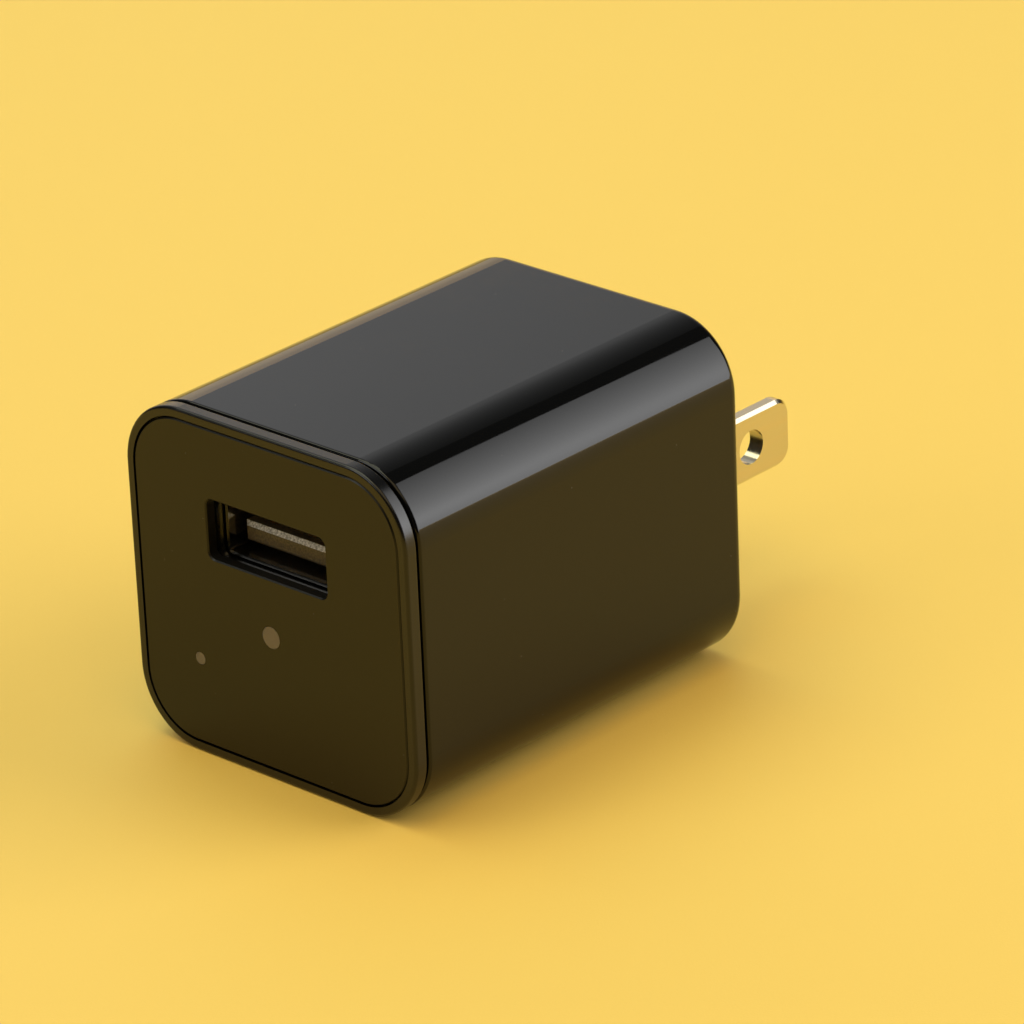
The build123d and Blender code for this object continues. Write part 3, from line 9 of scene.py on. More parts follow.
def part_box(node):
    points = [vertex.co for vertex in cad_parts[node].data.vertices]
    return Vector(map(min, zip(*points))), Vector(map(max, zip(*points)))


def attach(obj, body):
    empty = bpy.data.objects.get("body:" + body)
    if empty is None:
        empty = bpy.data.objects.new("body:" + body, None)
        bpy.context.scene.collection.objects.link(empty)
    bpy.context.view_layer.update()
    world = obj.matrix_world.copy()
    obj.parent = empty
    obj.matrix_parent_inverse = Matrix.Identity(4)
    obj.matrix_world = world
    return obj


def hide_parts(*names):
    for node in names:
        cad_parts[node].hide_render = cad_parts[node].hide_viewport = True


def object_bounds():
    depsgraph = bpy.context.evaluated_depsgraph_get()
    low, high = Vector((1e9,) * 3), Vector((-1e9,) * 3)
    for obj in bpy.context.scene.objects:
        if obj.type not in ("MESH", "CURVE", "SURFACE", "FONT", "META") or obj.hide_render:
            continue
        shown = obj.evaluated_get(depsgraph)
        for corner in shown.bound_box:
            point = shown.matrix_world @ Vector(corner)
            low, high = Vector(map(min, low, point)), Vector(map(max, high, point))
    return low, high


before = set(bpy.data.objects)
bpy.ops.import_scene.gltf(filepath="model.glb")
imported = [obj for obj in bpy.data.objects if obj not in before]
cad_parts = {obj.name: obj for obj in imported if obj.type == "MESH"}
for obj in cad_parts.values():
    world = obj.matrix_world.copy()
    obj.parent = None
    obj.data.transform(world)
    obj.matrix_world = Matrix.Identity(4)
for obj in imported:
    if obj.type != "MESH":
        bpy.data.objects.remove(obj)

bl_info = {
    "name": "USB wall charger",
    "version": (1, 0, 0),
    "blender": (4, 5, 0),
    "location": "View3D > Sidebar > Charger",
    "description": "Finishes the parts of a USB wall charger and sets up a studio stage for it",
    "category": "Object",
}

MM = 0.001
WELD = 0.001 * MM            # corners closer than this are one corner
FLAT = 0.01 * MM             # a flat end's corners lie within this of its furthest one
TURN_SPACING = 1.04          # from turn to turn, in wire diameters
WINDING_CORNER = 1.4 * MM    # round of the transformer winding's outer corners
LEAD_OUT_HEIGHT = 2.6 * MM   # over the board, where the winding's ends stop
CAP_DEPTH = 0.3 * MM         # tinned end of a chip part, along the part
CAP_PROUD = 0.015 * MM       # and how far it stands out of the ceramic
CAP_FILLET = 0.35 * MM       # reach of the solder in front of a tinned end
FLOOR_REACH = 1.2            # half width of the paper, and its length in front, in m
FLOOR_FLAT = 0.9             # flat length behind the charger, in m
FLOOR_SWEEP_RADIUS = 0.3     # the paper's curve, in m
FLOOR_RISE = 0.5             # and how high it goes, in m
VIEW_SHIFT = Vector((12.764, 16.115, 6.670)) * MM   # from the panel's middle to the view's centre
ROOM_GLOW = 0.035            # strength of the unlit room
CAD_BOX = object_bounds()
FINISHED = set()


# ------------------------------------------------------------------ helpers for nodes and pieces
def srgb(code):
    """The linear colour that a shader takes, from sRGB hex."""
    channels = [int(code[i:i + 2], 16) / 255 for i in (1, 3, 5)]
    return tuple(c / 12.92 if c <= 0.04045 else ((c + 0.055) / 1.055) ** 2.4 for c in channels) + (1.0,)


def socket(sockets, key):
    """A socket by its place, or by its name among the sockets in use."""
    return sockets[key] if isinstance(key, int) else next(s for s in sockets if s.enabled and s.name == key)


def add(tree, kind, settings=None, links=None):
    """Add a node: lower-case settings are its properties, the others and the links are its sockets."""
    made = tree.nodes.new(kind)
    for key, value in (settings or {}).items():
        if isinstance(key, str) and key.islower():
            setattr(made, key, value)
        else:
            socket(made.inputs, key).default_value = value
    for key, source in (links or {}).items():
        if not isinstance(source, bpy.types.NodeSocket):
            source = next(output for output in source.outputs if output.enabled)
        tree.links.new(source, socket(made.inputs, key))
    return made


def start_material(name, colour, **constants):
    """A material with these constants on its shader: gives it, its tree and the place in mm."""
    material = bpy.data.materials.new(name)
    material.use_nodes = True
    tree = material.node_tree
    shader = tree.nodes["Principled BSDF"]
    shader.inputs["Base Color"].default_value = srgb(colour) if isinstance(colour, str) else (*colour, 1.0)
    for key, value in constants.items():
        shader.inputs[key.replace("_", " ")].default_value = value
    where = add(tree, "ShaderNodeTexCoord")
    place = add(
        tree, "ShaderNodeVectorMath", {"operation": "SCALE", "Scale": 1 / MM}, {0: where.outputs["Object"]}
    )
    return material, tree, place


def feed(tree, **sources):
    """Join nodes to the shader's sockets, as in feed(tree, Base_Color=mix, Roughness=wear)."""
    shader = tree.nodes["Principled BSDF"]
    for key, source in sources.items():
        output = next(o for o in source.outputs if o.enabled)
        tree.links.new(output, shader.inputs[key.replace("_", " ")])


def finish(material, *names):
    """Put a material on CAD nodes."""
    for name in names:
        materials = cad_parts[name].data.materials
        materials.clear()
        materials.append(material)
        FINISHED.add(name)


def new_piece(name, data, material, slot, *replaced):
    """Add a modelled piece that rides on the root body, in place of CAD nodes if any are named."""
    piece = bpy.data.objects.new(name, data)
    data.materials.append(material)
    bpy.context.scene.collection.objects.link(piece)
    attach(piece, "root")
    for node in replaced:
        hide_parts(node)
        FINISHED.add(node)


def middle(node):
    """The centre of a CAD node's box."""
    low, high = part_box(node)
    return (Vector(low) + Vector(high)) / 2


def flat_ends(node, axis, sign):
    """Middle and half size of each separate flat end that a node has furthest along an axis."""
    bm = bmesh.new()
    bm.from_mesh(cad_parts[node].data)
    bmesh.ops.remove_doubles(bm, verts=bm.verts, dist=WELD)
    reach = max(sign * vert.co[axis] for vert in bm.verts)
    left = [f for f in bm.faces if all(sign * v.co[axis] > reach - FLAT for v in f.verts)]
    ends = []
    while left:
        group = [left.pop()]
        for face in group:
            for other in [f for edge in face.edges for f in edge.link_faces if f in left]:
                if other in left:
                    left.remove(other)
                    group.append(other)
        corners = [vert.co.copy() for face in group for vert in face.verts]
        low, high = (Vector([pick(c[i] for c in corners) for i in range(3)]) for pick in (min, max))
        ends.append(((low + high) / 2, (high - low) / 2))
    bm.free()
    return sorted(ends, key=lambda end: tuple(end[0]))


# ------------------------------------------------------------------ settings
class ChargerCase(bpy.types.PropertyGroup):
    """Colours of what shows from outside."""

    housing: FloatVectorProperty(
        name="Housing", description="Resin of the housing and the bezel", subtype="COLOR", min=0, max=1,
        default=srgb("#070707")[:3],
    )
    panel: FloatVectorProperty(
        name="Front panel", description="Smoked acrylic of the front panel", subtype="COLOR", min=0, max=1,
        default=srgb("#060504")[:3],
    )
    light_guides: FloatVectorProperty(
        name="Light guides", description="Frosted ends of the two guides", subtype="COLOR", min=0, max=1,
        default=srgb("#6A625B")[:3],
    )
    plating: FloatVectorProperty(
        name="Plating", description="Nickel on the two blades", subtype="COLOR", min=0, max=1,
        default=srgb("#D4CBB3")[:3],
    )


class ChargerWorks(bpy.types.PropertyGroup):
    """Sizes of what is wound and soldered."""

    winding_wire: FloatProperty(
        name="Transformer wire", description="Diameter of the winding's enamelled wire", unit="LENGTH",
        default=0.32 * MM, min=0.1 * MM, max=0.6 * MM,
    )
    choke_wire: FloatProperty(
        name="Inductor wire", description="Diameter of the inductor's enamelled wire", unit="LENGTH",
        default=0.28 * MM, min=0.1 * MM, max=0.3 * MM,
    )
    pad_margin: FloatProperty(
        name="Solder pad", description="How far a ring of solder spreads round its lead", unit="LENGTH",
        default=0.42 * MM, min=0.1 * MM, max=0.5 * MM,
    )
    solder_height: FloatProperty(
        name="Solder height", description="How far the solder climbs a lead", unit="LENGTH",
        default=0.6 * MM, min=0.2 * MM, max=0.7 * MM,
    )
    roundness: IntProperty(
        name="Roundness", description="How finely a wire or a solder joint is rounded", default=3, min=1,
        max=8,
    )


class ChargerStudio(bpy.types.PropertyGroup):
    """The floor, the lights and the camera."""

    floor: FloatVectorProperty(
        name="Floor", description="Coated paper that the charger stands on", subtype="COLOR", min=0, max=1,
        default=srgb("#F1C65F")[:3],
    )
    key_power: FloatProperty(
        name="Key light", description="Soft box overhead on the left, in watts", default=4.3, min=0,
    )
    fill_power: FloatProperty(
        name="Fill light", description="Warm soft box high in front, in watts", default=2.45, min=0,
    )
    top_power: FloatProperty(
        name="Top light", description="Warm soft box straight above, in watts", default=2.3, min=0,
    )
    sky_power: FloatProperty(
        name="Sky glow", description="Cool soft box high behind left, in watts", default=4.5, min=0,
    )
    front_power: FloatProperty(
        name="Front card", description="Low card in front on the left, in watts", default=1.5, min=0,
    )
    card_power: FloatProperty(
        name="Back card", description="Lit card behind left, in watts", default=6.4, min=0,
    )
    side_power: FloatProperty(
        name="Side box", description="Soft box at the right, in watts", default=12.6, min=0,
    )
    lens: FloatProperty(name="Lens", description="Focal length of the camera, in mm", default=210.6, min=35)
    distance: FloatProperty(
        name="Distance", description="From the camera to the point it looks at", unit="LENGTH",
        default=0.4941, min=0.2,
    )
    azimuth: FloatProperty(
        name="Azimuth", description="Turn of the view from the front panel towards the right side",
        subtype="ANGLE", default=math.radians(43.157),
    )
    elevation: FloatProperty(
        name="Elevation", description="Rise of the view over the level", subtype="ANGLE",
        default=math.radians(24.396),
    )
    roll: FloatProperty(
        name="Roll", description="Turn of the view about its own line of sight", subtype="ANGLE",
        default=math.radians(-2.461),
    )


# ------------------------------------------------------------------ materials of the case
def dust(tree, place, spacing, radius):
    """1 on scattered round specks of this radius in mm, 0 between them."""
    # a speck shows only where a cell's point lies within its radius of the surface, so specks are few
    cells = add(tree, "ShaderNodeTexVoronoi", {"Scale": 1 / spacing}, {"Vector": place})
    return add(
        tree, "ShaderNodeMapRange",
        {"From Min": radius / spacing, "From Max": 0.4 * radius / spacing},
        {"Value": cells.outputs["Distance"]},
    )


def gloss_with_dust(tree, place, colour, smooth, hazy, waviness):
    """A polished skin: slow waviness, handling haze between two roughnesses, and a little dust."""
    # sink and flow bend a long reflection over about 9 mm, and haze comes and goes over about 5 mm
    flow = add(tree, "ShaderNodeTexNoise", {"Scale": 1 / 9.0, "Detail": 1.0}, {"Vector": place})
    relief = add(tree, "ShaderNodeBump", {"Distance": waviness * MM}, {"Height": flow})
    haze = add(
        tree, "ShaderNodeTexNoise", {"Scale": 1 / 5.0, "Detail": 5.0, "Roughness": 0.6}, {"Vector": place}
    )
    gloss = add(
        tree, "ShaderNodeMapRange", {"From Min": 0.4, "From Max": 0.75, "To Min": smooth, "To Max": hazy},
        {"Value": haze},
    )
    # household dust is 0.02 to 0.1 mm across; drawn at the coarse end so that it shows
    speck = dust(tree, place, 2.2, 0.06)
    skin = add(
        tree, "ShaderNodeMix", {"data_type": "RGBA", "A": colour, "B": srgb("#5F5B53")}, {"Factor": speck}
    )
    wear = add(tree, "ShaderNodeMath", {"operation": "MULTIPLY_ADD", 1: 0.5}, {0: speck, 2: gloss})
    return skin, wear, relief


def polycarbonate_gloss_moulded():
    """Flame-retardant polycarbonate from a polished tool: deep black gloss with long, slightly wavy
    reflections. The plug face is spark-eroded in the tool, so it is matt and hides scuffs.
    The index is set below the resin's own 1.58, which mirrors the floor too brightly in the sides."""
    colour = (*bpy.context.scene.charger_case.housing, 1.0)
    material, tree, place = start_material("polycarbonate_gloss_moulded", colour[:3], IOR=1.4)
    skin, wear, relief = gloss_with_dust(tree, place, colour, 0.04, 0.075, 0.006)
    depth = add(tree, "ShaderNodeSeparateXYZ", {}, {"Vector": place})
    # the matt starts where the rear edge's rounding meets the plug face
    matt = add(
        tree, "ShaderNodeMapRange", {"From Min": -0.25, "From Max": -0.02},
        {"Value": depth.outputs["Y"]},
    )
    # spark craters are about 0.05 mm; drawn at 0.2 mm so that they show
    craters = add(tree, "ShaderNodeTexNoise", {"Scale": 1 / 0.2, "Detail": 3.0}, {"Vector": place})
    pitted = add(tree, "ShaderNodeMath", {"operation": "MULTIPLY"}, {0: craters, 1: matt})
    eroded = add(tree, "ShaderNodeBump", {"Distance": 0.012 * MM}, {"Height": pitted, "Normal": relief})
    rough = add(tree, "ShaderNodeMath", {"operation": "MULTIPLY_ADD", 1: 0.3}, {0: matt, 2: wear})
    feed(tree, Base_Color=skin, Roughness=rough, Normal=eroded)
    return material


def polycarbonate_satin_moulded():
    """The same resin from a less polished tool: the bezel's round edge spreads the lights into broad
    soft bands instead of sharp lines."""
    colour = (*bpy.context.scene.charger_case.housing, 1.0)
    material, tree, place = start_material("polycarbonate_satin_moulded", colour[:3], IOR=1.48)
    skin, wear, relief = gloss_with_dust(tree, place, colour, 0.22, 0.28, 0.006)
    feed(tree, Base_Color=skin, Roughness=wear, Normal=relief)
    return material


def acrylic_smoked_cast():
    """Smoked acrylic cut from cast sheet and polished: flatter and a little warmer than the housing,
    so its reflections are straight, and dust shows on it first. The index is below the usual 1.49,
    for the same reason as the housing's."""
    colour = (*bpy.context.scene.charger_case.panel, 1.0)
    material, tree, place = start_material("acrylic_smoked_cast", colour[:3], IOR=1.42)
    skin, wear, relief = gloss_with_dust(tree, place, colour, 0.05, 0.08, 0.002)
    # the router leaves the edges and the port's opening satin, where the face turns from the front
    side = add(tree, "ShaderNodeTexCoord")
    front = add(
        tree, "ShaderNodeVectorMath", {"operation": "DOT_PRODUCT", 1: (0.0, -1.0, 0.0)},
        {0: side.outputs["Normal"]},
    )
    routed = add(
        tree, "ShaderNodeMapRange", {"From Min": 0.97, "From Max": 0.6, "To Min": 0.0, "To Max": 0.4},
        {"Value": front},
    )
    rough = add(tree, "ShaderNodeMath", {"operation": "ADD"}, {0: wear, 1: routed})
    feed(tree, Base_Color=skin, Roughness=rough, Normal=relief)
    return material


def acrylic_frosted_turned():
    """Clear acrylic rod with a sanded end: a milky grey-beige spot that glows evenly when lit."""
    colour = bpy.context.scene.charger_case.light_guides
    material, tree, place = start_material(
        "acrylic_frosted_turned", colour, IOR=1.49, Subsurface_Weight=0.35,
        Subsurface_Radius=(1.0, 0.9, 0.7), Subsurface_Scale=0.6 * MM,
    )
    # sanding scratches of about 0.1 mm give the frost
    frost = add(tree, "ShaderNodeTexNoise", {"Scale": 1 / 0.1, "Detail": 3.0}, {"Vector": place})
    sanded = add(tree, "ShaderNodeBump", {"Distance": 0.01 * MM}, {"Height": frost})
    rough = add(
        tree, "ShaderNodeMapRange", {"From Min": 0.3, "From Max": 0.7, "To Min": 0.42, "To Max": 0.62},
        {"Value": frost},
    )
    feed(tree, Roughness=rough, Normal=sanded)
    return material


def foam_tape_die_cut():
    """Black acrylic foam tape: dull, faintly cellular."""
    material, tree, place = start_material("foam_tape_die_cut", "#191919", Roughness=0.85)
    # foam cells are about 0.15 mm
    cells = add(tree, "ShaderNodeTexVoronoi", {"Scale": 1 / 0.15}, {"Vector": place})
    open_cells = add(tree, "ShaderNodeBump", {"Distance": 0.03 * MM}, {"Height": cells.outputs["Distance"]})
    shade = add(
        tree, "ShaderNodeMix", {"data_type": "RGBA", "A": srgb("#101010"), "B": srgb("#242424")},
        {"Factor": cells.outputs["Distance"]},
    )
    feed(tree, Base_Color=shade, Normal=open_cells)
    return material


# ------------------------------------------------------------------ metals
def drawn_metal(name, colour, wear_and_sheen, along, smooth, rough, line_depth):
    """A metal with fine lines along one direction, and streaks where its colour and gloss wear."""
    material, tree, place = start_material(name, colour, Metallic=1.0)
    fresh = srgb(colour) if isinstance(colour, str) else (*colour, 1.0)
    # lines are about 0.06 mm apart and 8 mm long; the direction along them is hardly scaled
    lines_per_mm = tuple(1 / 8.0 if axis == along else 1 / 0.06 for axis in "XYZ")
    streaks_per_mm = tuple(1 / 12.0 if axis == along else 1 / 0.9 for axis in "XYZ")
    fine_place = add(tree, "ShaderNodeVectorMath", {"operation": "MULTIPLY", 1: lines_per_mm}, {0: place})
    wide_place = add(tree, "ShaderNodeVectorMath", {"operation": "MULTIPLY", 1: streaks_per_mm}, {0: place})
    fine = add(tree, "ShaderNodeTexNoise", {"Scale": 1.0, "Detail": 2.0}, {"Vector": fine_place})
    wide = add(tree, "ShaderNodeTexNoise", {"Scale": 1.0, "Detail": 3.0}, {"Vector": wide_place})
    lines = add(tree, "ShaderNodeBump", {"Distance": line_depth * MM}, {"Height": fine})
    wear = add(
        tree, "ShaderNodeMapRange", {"From Min": 0.5, "From Max": 0.75},
        {"Value": wide},
    )
    tone = add(
        tree, "ShaderNodeMix", {"data_type": "RGBA", "A": fresh, "B": srgb(wear_and_sheen)}, {"Factor": wear}
    )
    gloss = add(
        tree, "ShaderNodeMapRange", {"From Min": 0.3, "From Max": 0.7, "To Min": smooth, "To Max": rough},
        {"Value": wide},
    )
    feed(tree, Base_Color=tone, Roughness=gloss, Normal=lines)
    return material


def brass_nickel_plated_stamped():
    """Stamped brass under bright nickel: soft mirror with lines along the blade, warmer where it wears."""
    colour = bpy.context.scene.charger_case.plating
    return drawn_metal("brass_nickel_plated_stamped", colour, "#DCCBA6", "Y", 0.14, 0.24, 0.001)


def steel_nickel_plated_stamped():
    """Thin steel sheet, nickel plated and folded: bright, with rolling lines along the receptacle."""
    return drawn_metal("steel_nickel_plated_stamped", "#CFCCC5", "#B4AFA5", "Y", 0.1, 0.22, 0.001)


def bronze_gold_plated_stamped():
    """Phosphor bronze with a thin gold flash: deep yellow and smooth where plugs wipe it."""
    return drawn_metal("bronze_gold_plated_stamped", "#E4B65A", "#C9974A", "Y", 0.14, 0.28, 0.001)


def brass_rolled():
    """Rolled brass strip: yellow, with rolling lines across the board."""
    return drawn_metal("brass_rolled", "#CFA85C", "#A9803E", "Z", 0.2, 0.36, 0.002)


def copper_tinned_drawn():
    """Tinned copper wire: pale grey, slightly frosted tin."""
    return drawn_metal("copper_tinned_drawn", "#C8C9C8", "#A2A3A1", "Z", 0.26, 0.42, 0.002)


def aluminium_drawn():
    """Deep-drawn aluminium can: light grey with draw lines up its side."""
    return drawn_metal("aluminium_drawn", "#D2D3D4", "#B9BABB", "Z", 0.24, 0.38, 0.002)


def solder_flowed():
    """Lead-free solder as it froze: silvery, dulled by fine grain of about 0.2 mm."""
    material, tree, place = start_material("solder_flowed", "#BDBEBC", Metallic=1.0)
    grain = add(tree, "ShaderNodeTexVoronoi", {"Scale": 1 / 0.2}, {"Vector": place})
    frozen = add(tree, "ShaderNodeBump", {"Distance": 0.01 * MM}, {"Height": grain.outputs["Distance"]})
    gloss = add(
        tree, "ShaderNodeMapRange", {"From Min": 0.0, "From Max": 0.8, "To Min": 0.18, "To Max": 0.45},
        {"Value": grain.outputs["Distance"]},
    )
    feed(tree, Roughness=gloss, Normal=frozen)
    return material


def copper_enamelled_wound():
    """Copper magnet wire under clear polyurethane enamel: orange-red metal with a glossy coat."""
    material, tree, place = start_material(
        "copper_enamelled_wound", "#B8622E", Metallic=1.0, Coat_Weight=0.8, Coat_Roughness=0.12
    )
    # the enamel is darker and lighter from turn to turn, over about half a millimetre
    tint = add(tree, "ShaderNodeTexNoise", {"Scale": 1 / 0.5, "Detail": 2.0}, {"Vector": place})
    tone = add(
        tree, "ShaderNodeMix", {"data_type": "RGBA", "A": srgb("#A5501F"), "B": srgb("#CB7A42")},
        {"Factor": tint},
    )
    gloss = add(
        tree, "ShaderNodeMapRange", {"From Min": 0.3, "From Max": 0.7, "To Min": 0.2, "To Max": 0.34},
        {"Value": tint},
    )
    feed(tree, Base_Color=tone, Roughness=gloss)
    return material


# ------------------------------------------------------------------ plastics, films and ceramics
def grained(name, dark, light, grain, relief, smooth, rough, **constants):
    """A body whose colour, gloss and relief vary together over a grain of this size in mm."""
    material, tree, place = start_material(name, dark, **constants)
    pattern = add(tree, "ShaderNodeTexNoise", {"Scale": 1 / grain, "Detail": 4.0}, {"Vector": place})
    even = add(
        tree, "ShaderNodeMapRange", {"From Min": 0.35, "From Max": 0.65},
        {"Value": pattern},
    )
    tone = add(
        tree, "ShaderNodeMix", {"data_type": "RGBA", "A": srgb(dark), "B": srgb(light)}, {"Factor": even}
    )
    gloss = add(
        tree, "ShaderNodeMapRange", {"To Min": smooth, "To Max": rough},
        {"Value": even},
    )
    surface = add(tree, "ShaderNodeBump", {"Distance": relief * MM}, {"Height": pattern})
    feed(tree, Base_Color=tone, Roughness=gloss, Normal=surface)
    return material


def crystal_polymer_glass_filled_moulded():
    """Liquid crystal polymer with glass fibre: charcoal and matt, mottled where fibres lie at the
    skin. The fibres are 0.2 mm long. The tongue's lead-in bevel is painted pale grey, a painted sheen."""
    material, tree, place = start_material("crystal_polymer_glass_filled_moulded", "#2B2721", IOR=1.6)
    fibres = add(tree, "ShaderNodeTexNoise", {"Scale": 1 / 0.2, "Detail": 4.0}, {"Vector": place})
    mottle = add(
        tree, "ShaderNodeMapRange", {"From Min": 0.35, "From Max": 0.65},
        {"Value": fibres},
    )
    body = add(
        tree, "ShaderNodeMix", {"data_type": "RGBA", "A": srgb("#2B2721"), "B": srgb("#62543F")},
        {"Factor": mottle},
    )
    # painted sheen: pale grey on the bevel, standing in for the light that falls on it from the front
    painted_bevel_sheen = add(
        tree, "ShaderNodeMix", {"data_type": "RGBA", "A": srgb("#9C9C9A"), "B": srgb("#F0F0EE")},
        {"Factor": mottle},
    )
    # the bevel is the only face that points both up and forward; its pale grey is painted sheen
    side = add(tree, "ShaderNodeTexCoord")
    bevel = add(
        tree, "ShaderNodeVectorMath", {"operation": "DOT_PRODUCT", 1: (0.0, -0.707, 0.707)},
        {0: side.outputs["Normal"]},
    )
    wear_and_sheen = add(
        tree, "ShaderNodeMapRange", {"From Min": 0.8, "From Max": 0.9},
        {"Value": bevel},
    )
    tone = add(tree, "ShaderNodeMix", {"data_type": "RGBA"}, {"Factor": wear_and_sheen, "A": body, "B": painted_bevel_sheen})
    gloss = add(
        tree, "ShaderNodeMapRange", {"To Min": 0.3, "To Max": 0.5},
        {"Value": mottle},
    )
    skin = add(tree, "ShaderNodeBump", {"Distance": 0.04 * MM}, {"Height": fibres})
    feed(tree, Base_Color=tone, Roughness=gloss, Normal=skin)
    return material


def nylon_glass_filled_moulded():
    """Black glass-filled nylon from a textured tool, with a 0.3 mm grain: dry and matt."""
    return grained("nylon_glass_filled_moulded", "#151515", "#222222", 0.3, 0.015, 0.45, 0.6, IOR=1.53)


def polycarbonate_natural_moulded():
    """Undyed polycarbonate for an inner part: milky off-white, slight 0.8 mm flow marks."""
    return grained("polycarbonate_natural_moulded", "#CFCDC4", "#E0DED6", 0.8, 0.004, 0.3, 0.42, IOR=1.58)


def polypropylene_sheet_extruded():
    """Flame-retardant polypropylene insulation sheet, embossed at 0.6 mm: translucent black."""
    return grained("polypropylene_sheet_extruded", "#17181A", "#24262A", 0.6, 0.02, 0.35, 0.5, IOR=1.49)


def ferrite_sintered_ground():
    """Sintered manganese-zinc ferrite: charcoal ceramic with a 0.15 mm grain and ground faces."""
    return grained("ferrite_sintered_ground", "#26272A", "#3C3D40", 0.15, 0.02, 0.4, 0.65, IOR=2.2)


def phenolic_moulded():
    """Moulded phenolic of the bobbin: brown-black with wood-flour flecks of about 0.4 mm."""
    return grained("phenolic_moulded", "#1B1512", "#31261F", 0.4, 0.01, 0.35, 0.5, IOR=1.6)


def polyester_tape_wrapped():
    """Yellow polyester tape stretched round the core: shiny, slightly uneven over 2.5 mm."""
    return grained("polyester_tape_wrapped", "#D9A421", "#E9BE3F", 2.5, 0.02, 0.18, 0.3, IOR=1.64)


def rubber_moulded():
    """Butyl rubber bung: near-black, dull, 0.25 mm grain."""
    return grained("rubber_moulded", "#1C1C1B", "#2A2A29", 0.25, 0.01, 0.6, 0.8, IOR=1.52)


def epoxy_transfer_moulded():
    """Black moulding compound of a chip: fine matt of 0.1 mm silica grain."""
    return grained("epoxy_transfer_moulded", "#1A1A1C", "#2B2B2D", 0.1, 0.01, 0.42, 0.58, IOR=1.55)


def ceramic_fired():
    """Fired ceramic body of a small chip part: tan to dark, 0.2 mm grain."""
    return grained("ceramic_fired", "#6E5A40", "#8A7354", 0.2, 0.004, 0.35, 0.5, IOR=1.7)


def epoxy_powder_dipped():
    """Blue epoxy dip on a ceramic disc: glossy, with a 1.2 mm orange peel."""
    return grained("epoxy_powder_dipped", "#1E4F8E", "#2C62A6", 1.2, 0.05, 0.16, 0.26, IOR=1.55)


def pvc_sleeve_shrunk():
    """Printed sleeve shrunk on a capacitor: dark green with one plain pale stripe on its left."""
    material, tree, place = start_material("pvc_sleeve_shrunk", "#1C3B32", IOR=1.53)
    # the stripe covers the 50 degrees of the round side that faces left
    side = add(tree, "ShaderNodeTexCoord")
    facing = add(
        tree, "ShaderNodeVectorMath", {"operation": "DOT_PRODUCT", 1: (-1.0, 0.0, 0.0)},
        {0: side.outputs["Normal"]},
    )
    edge = math.cos(math.radians(25))
    stripe = add(
        tree, "ShaderNodeMapRange", {"From Min": edge, "From Max": edge + 0.005},
        {"Value": facing},
    )
    # shrinking leaves ripples about 1.5 mm long
    ripple = add(tree, "ShaderNodeTexNoise", {"Scale": 1 / 1.5, "Detail": 2.0}, {"Vector": place})
    tone = add(
        tree, "ShaderNodeMix", {"data_type": "RGBA", "A": srgb("#1A352D"), "B": srgb("#23483D")},
        {"Factor": ripple},
    )
    printed = add(
        tree, "ShaderNodeMix", {"data_type": "RGBA", "B": srgb("#C9CEC2")}, {"Factor": stripe, "A": tone}
    )
    gloss = add(
        tree, "ShaderNodeMapRange", {"From Min": 0.3, "From Max": 0.7, "To Min": 0.2, "To Max": 0.32},
        {"Value": ripple},
    )
    shrunk = add(tree, "ShaderNodeBump", {"Distance": 0.03 * MM}, {"Height": ripple})
    feed(tree, Base_Color=printed, Roughness=gloss, Normal=shrunk)
    return material


def lacquer_banded_dipped(node):
    """Flameproof lacquer on a fusible resistor: pale blue-green, with four plain painted bands."""
    material, tree, place = start_material("lacquer_banded_dipped", "#7FA6A0", IOR=1.5)
    low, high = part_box(node)
    length = (high.x - low.x) / MM
    along = add(tree, "ShaderNodeSeparateXYZ", {}, {"Vector": place})
    peel = add(tree, "ShaderNodeTexNoise", {"Scale": 1 / 0.9, "Detail": 2.0}, {"Vector": place})
    tone = add(
        tree, "ShaderNodeMix", {"data_type": "RGBA", "A": srgb("#769C96"), "B": srgb("#8DB5AE")},
        {"Factor": peel},
    )
    for share, paint in ((0.2, "#6B3F22"), (0.36, "#1A1A1A"), (0.52, "#1A1A1A"), (0.78, "#B8963F")):
        centre = low.x / MM + share * length
        band = add(
            tree, "ShaderNodeMath", {"operation": "COMPARE", 1: centre, 2: 0.28}, {0: along.outputs["X"]}
        )
        tone = add(
            tree, "ShaderNodeMix", {"data_type": "RGBA", "B": srgb(paint)}, {"Factor": band, "A": tone}
        )
    gloss = add(
        tree, "ShaderNodeMapRange", {"From Min": 0.3, "From Max": 0.7, "To Min": 0.22, "To Max": 0.36},
        {"Value": peel},
    )
    surface = add(tree, "ShaderNodeBump", {"Distance": 0.03 * MM}, {"Height": peel})
    feed(tree, Base_Color=tone, Roughness=gloss, Normal=surface)
    return material


def epoxy_milky_cast(node):
    """White reflector body of a surface light, with its yellowish phosphor window in front."""
    material, tree, place = start_material("epoxy_milky_cast", "#E8E6DE", IOR=1.5)
    low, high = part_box(node)
    depth = add(tree, "ShaderNodeSeparateXYZ", {}, {"Vector": place})
    window = add(
        tree, "ShaderNodeMath", {"operation": "LESS_THAN", 1: (low.y + high.y) / 2 / MM},
        {0: depth.outputs["Y"]},
    )
    cloud = add(tree, "ShaderNodeTexNoise", {"Scale": 1 / 0.3, "Detail": 3.0}, {"Vector": place})
    body = add(
        tree, "ShaderNodeMix", {"data_type": "RGBA", "A": srgb("#DEDCD2"), "B": srgb("#F1EFE8")},
        {"Factor": cloud},
    )
    tone = add(
        tree, "ShaderNodeMix", {"data_type": "RGBA", "B": srgb("#DDC766")}, {"Factor": window, "A": body}
    )
    gloss = add(
        tree, "ShaderNodeMapRange", {"From Min": 0.3, "From Max": 0.7, "To Min": 0.2, "To Max": 0.4},
        {"Value": cloud},
    )
    feed(tree, Base_Color=tone, Roughness=gloss)
    return material


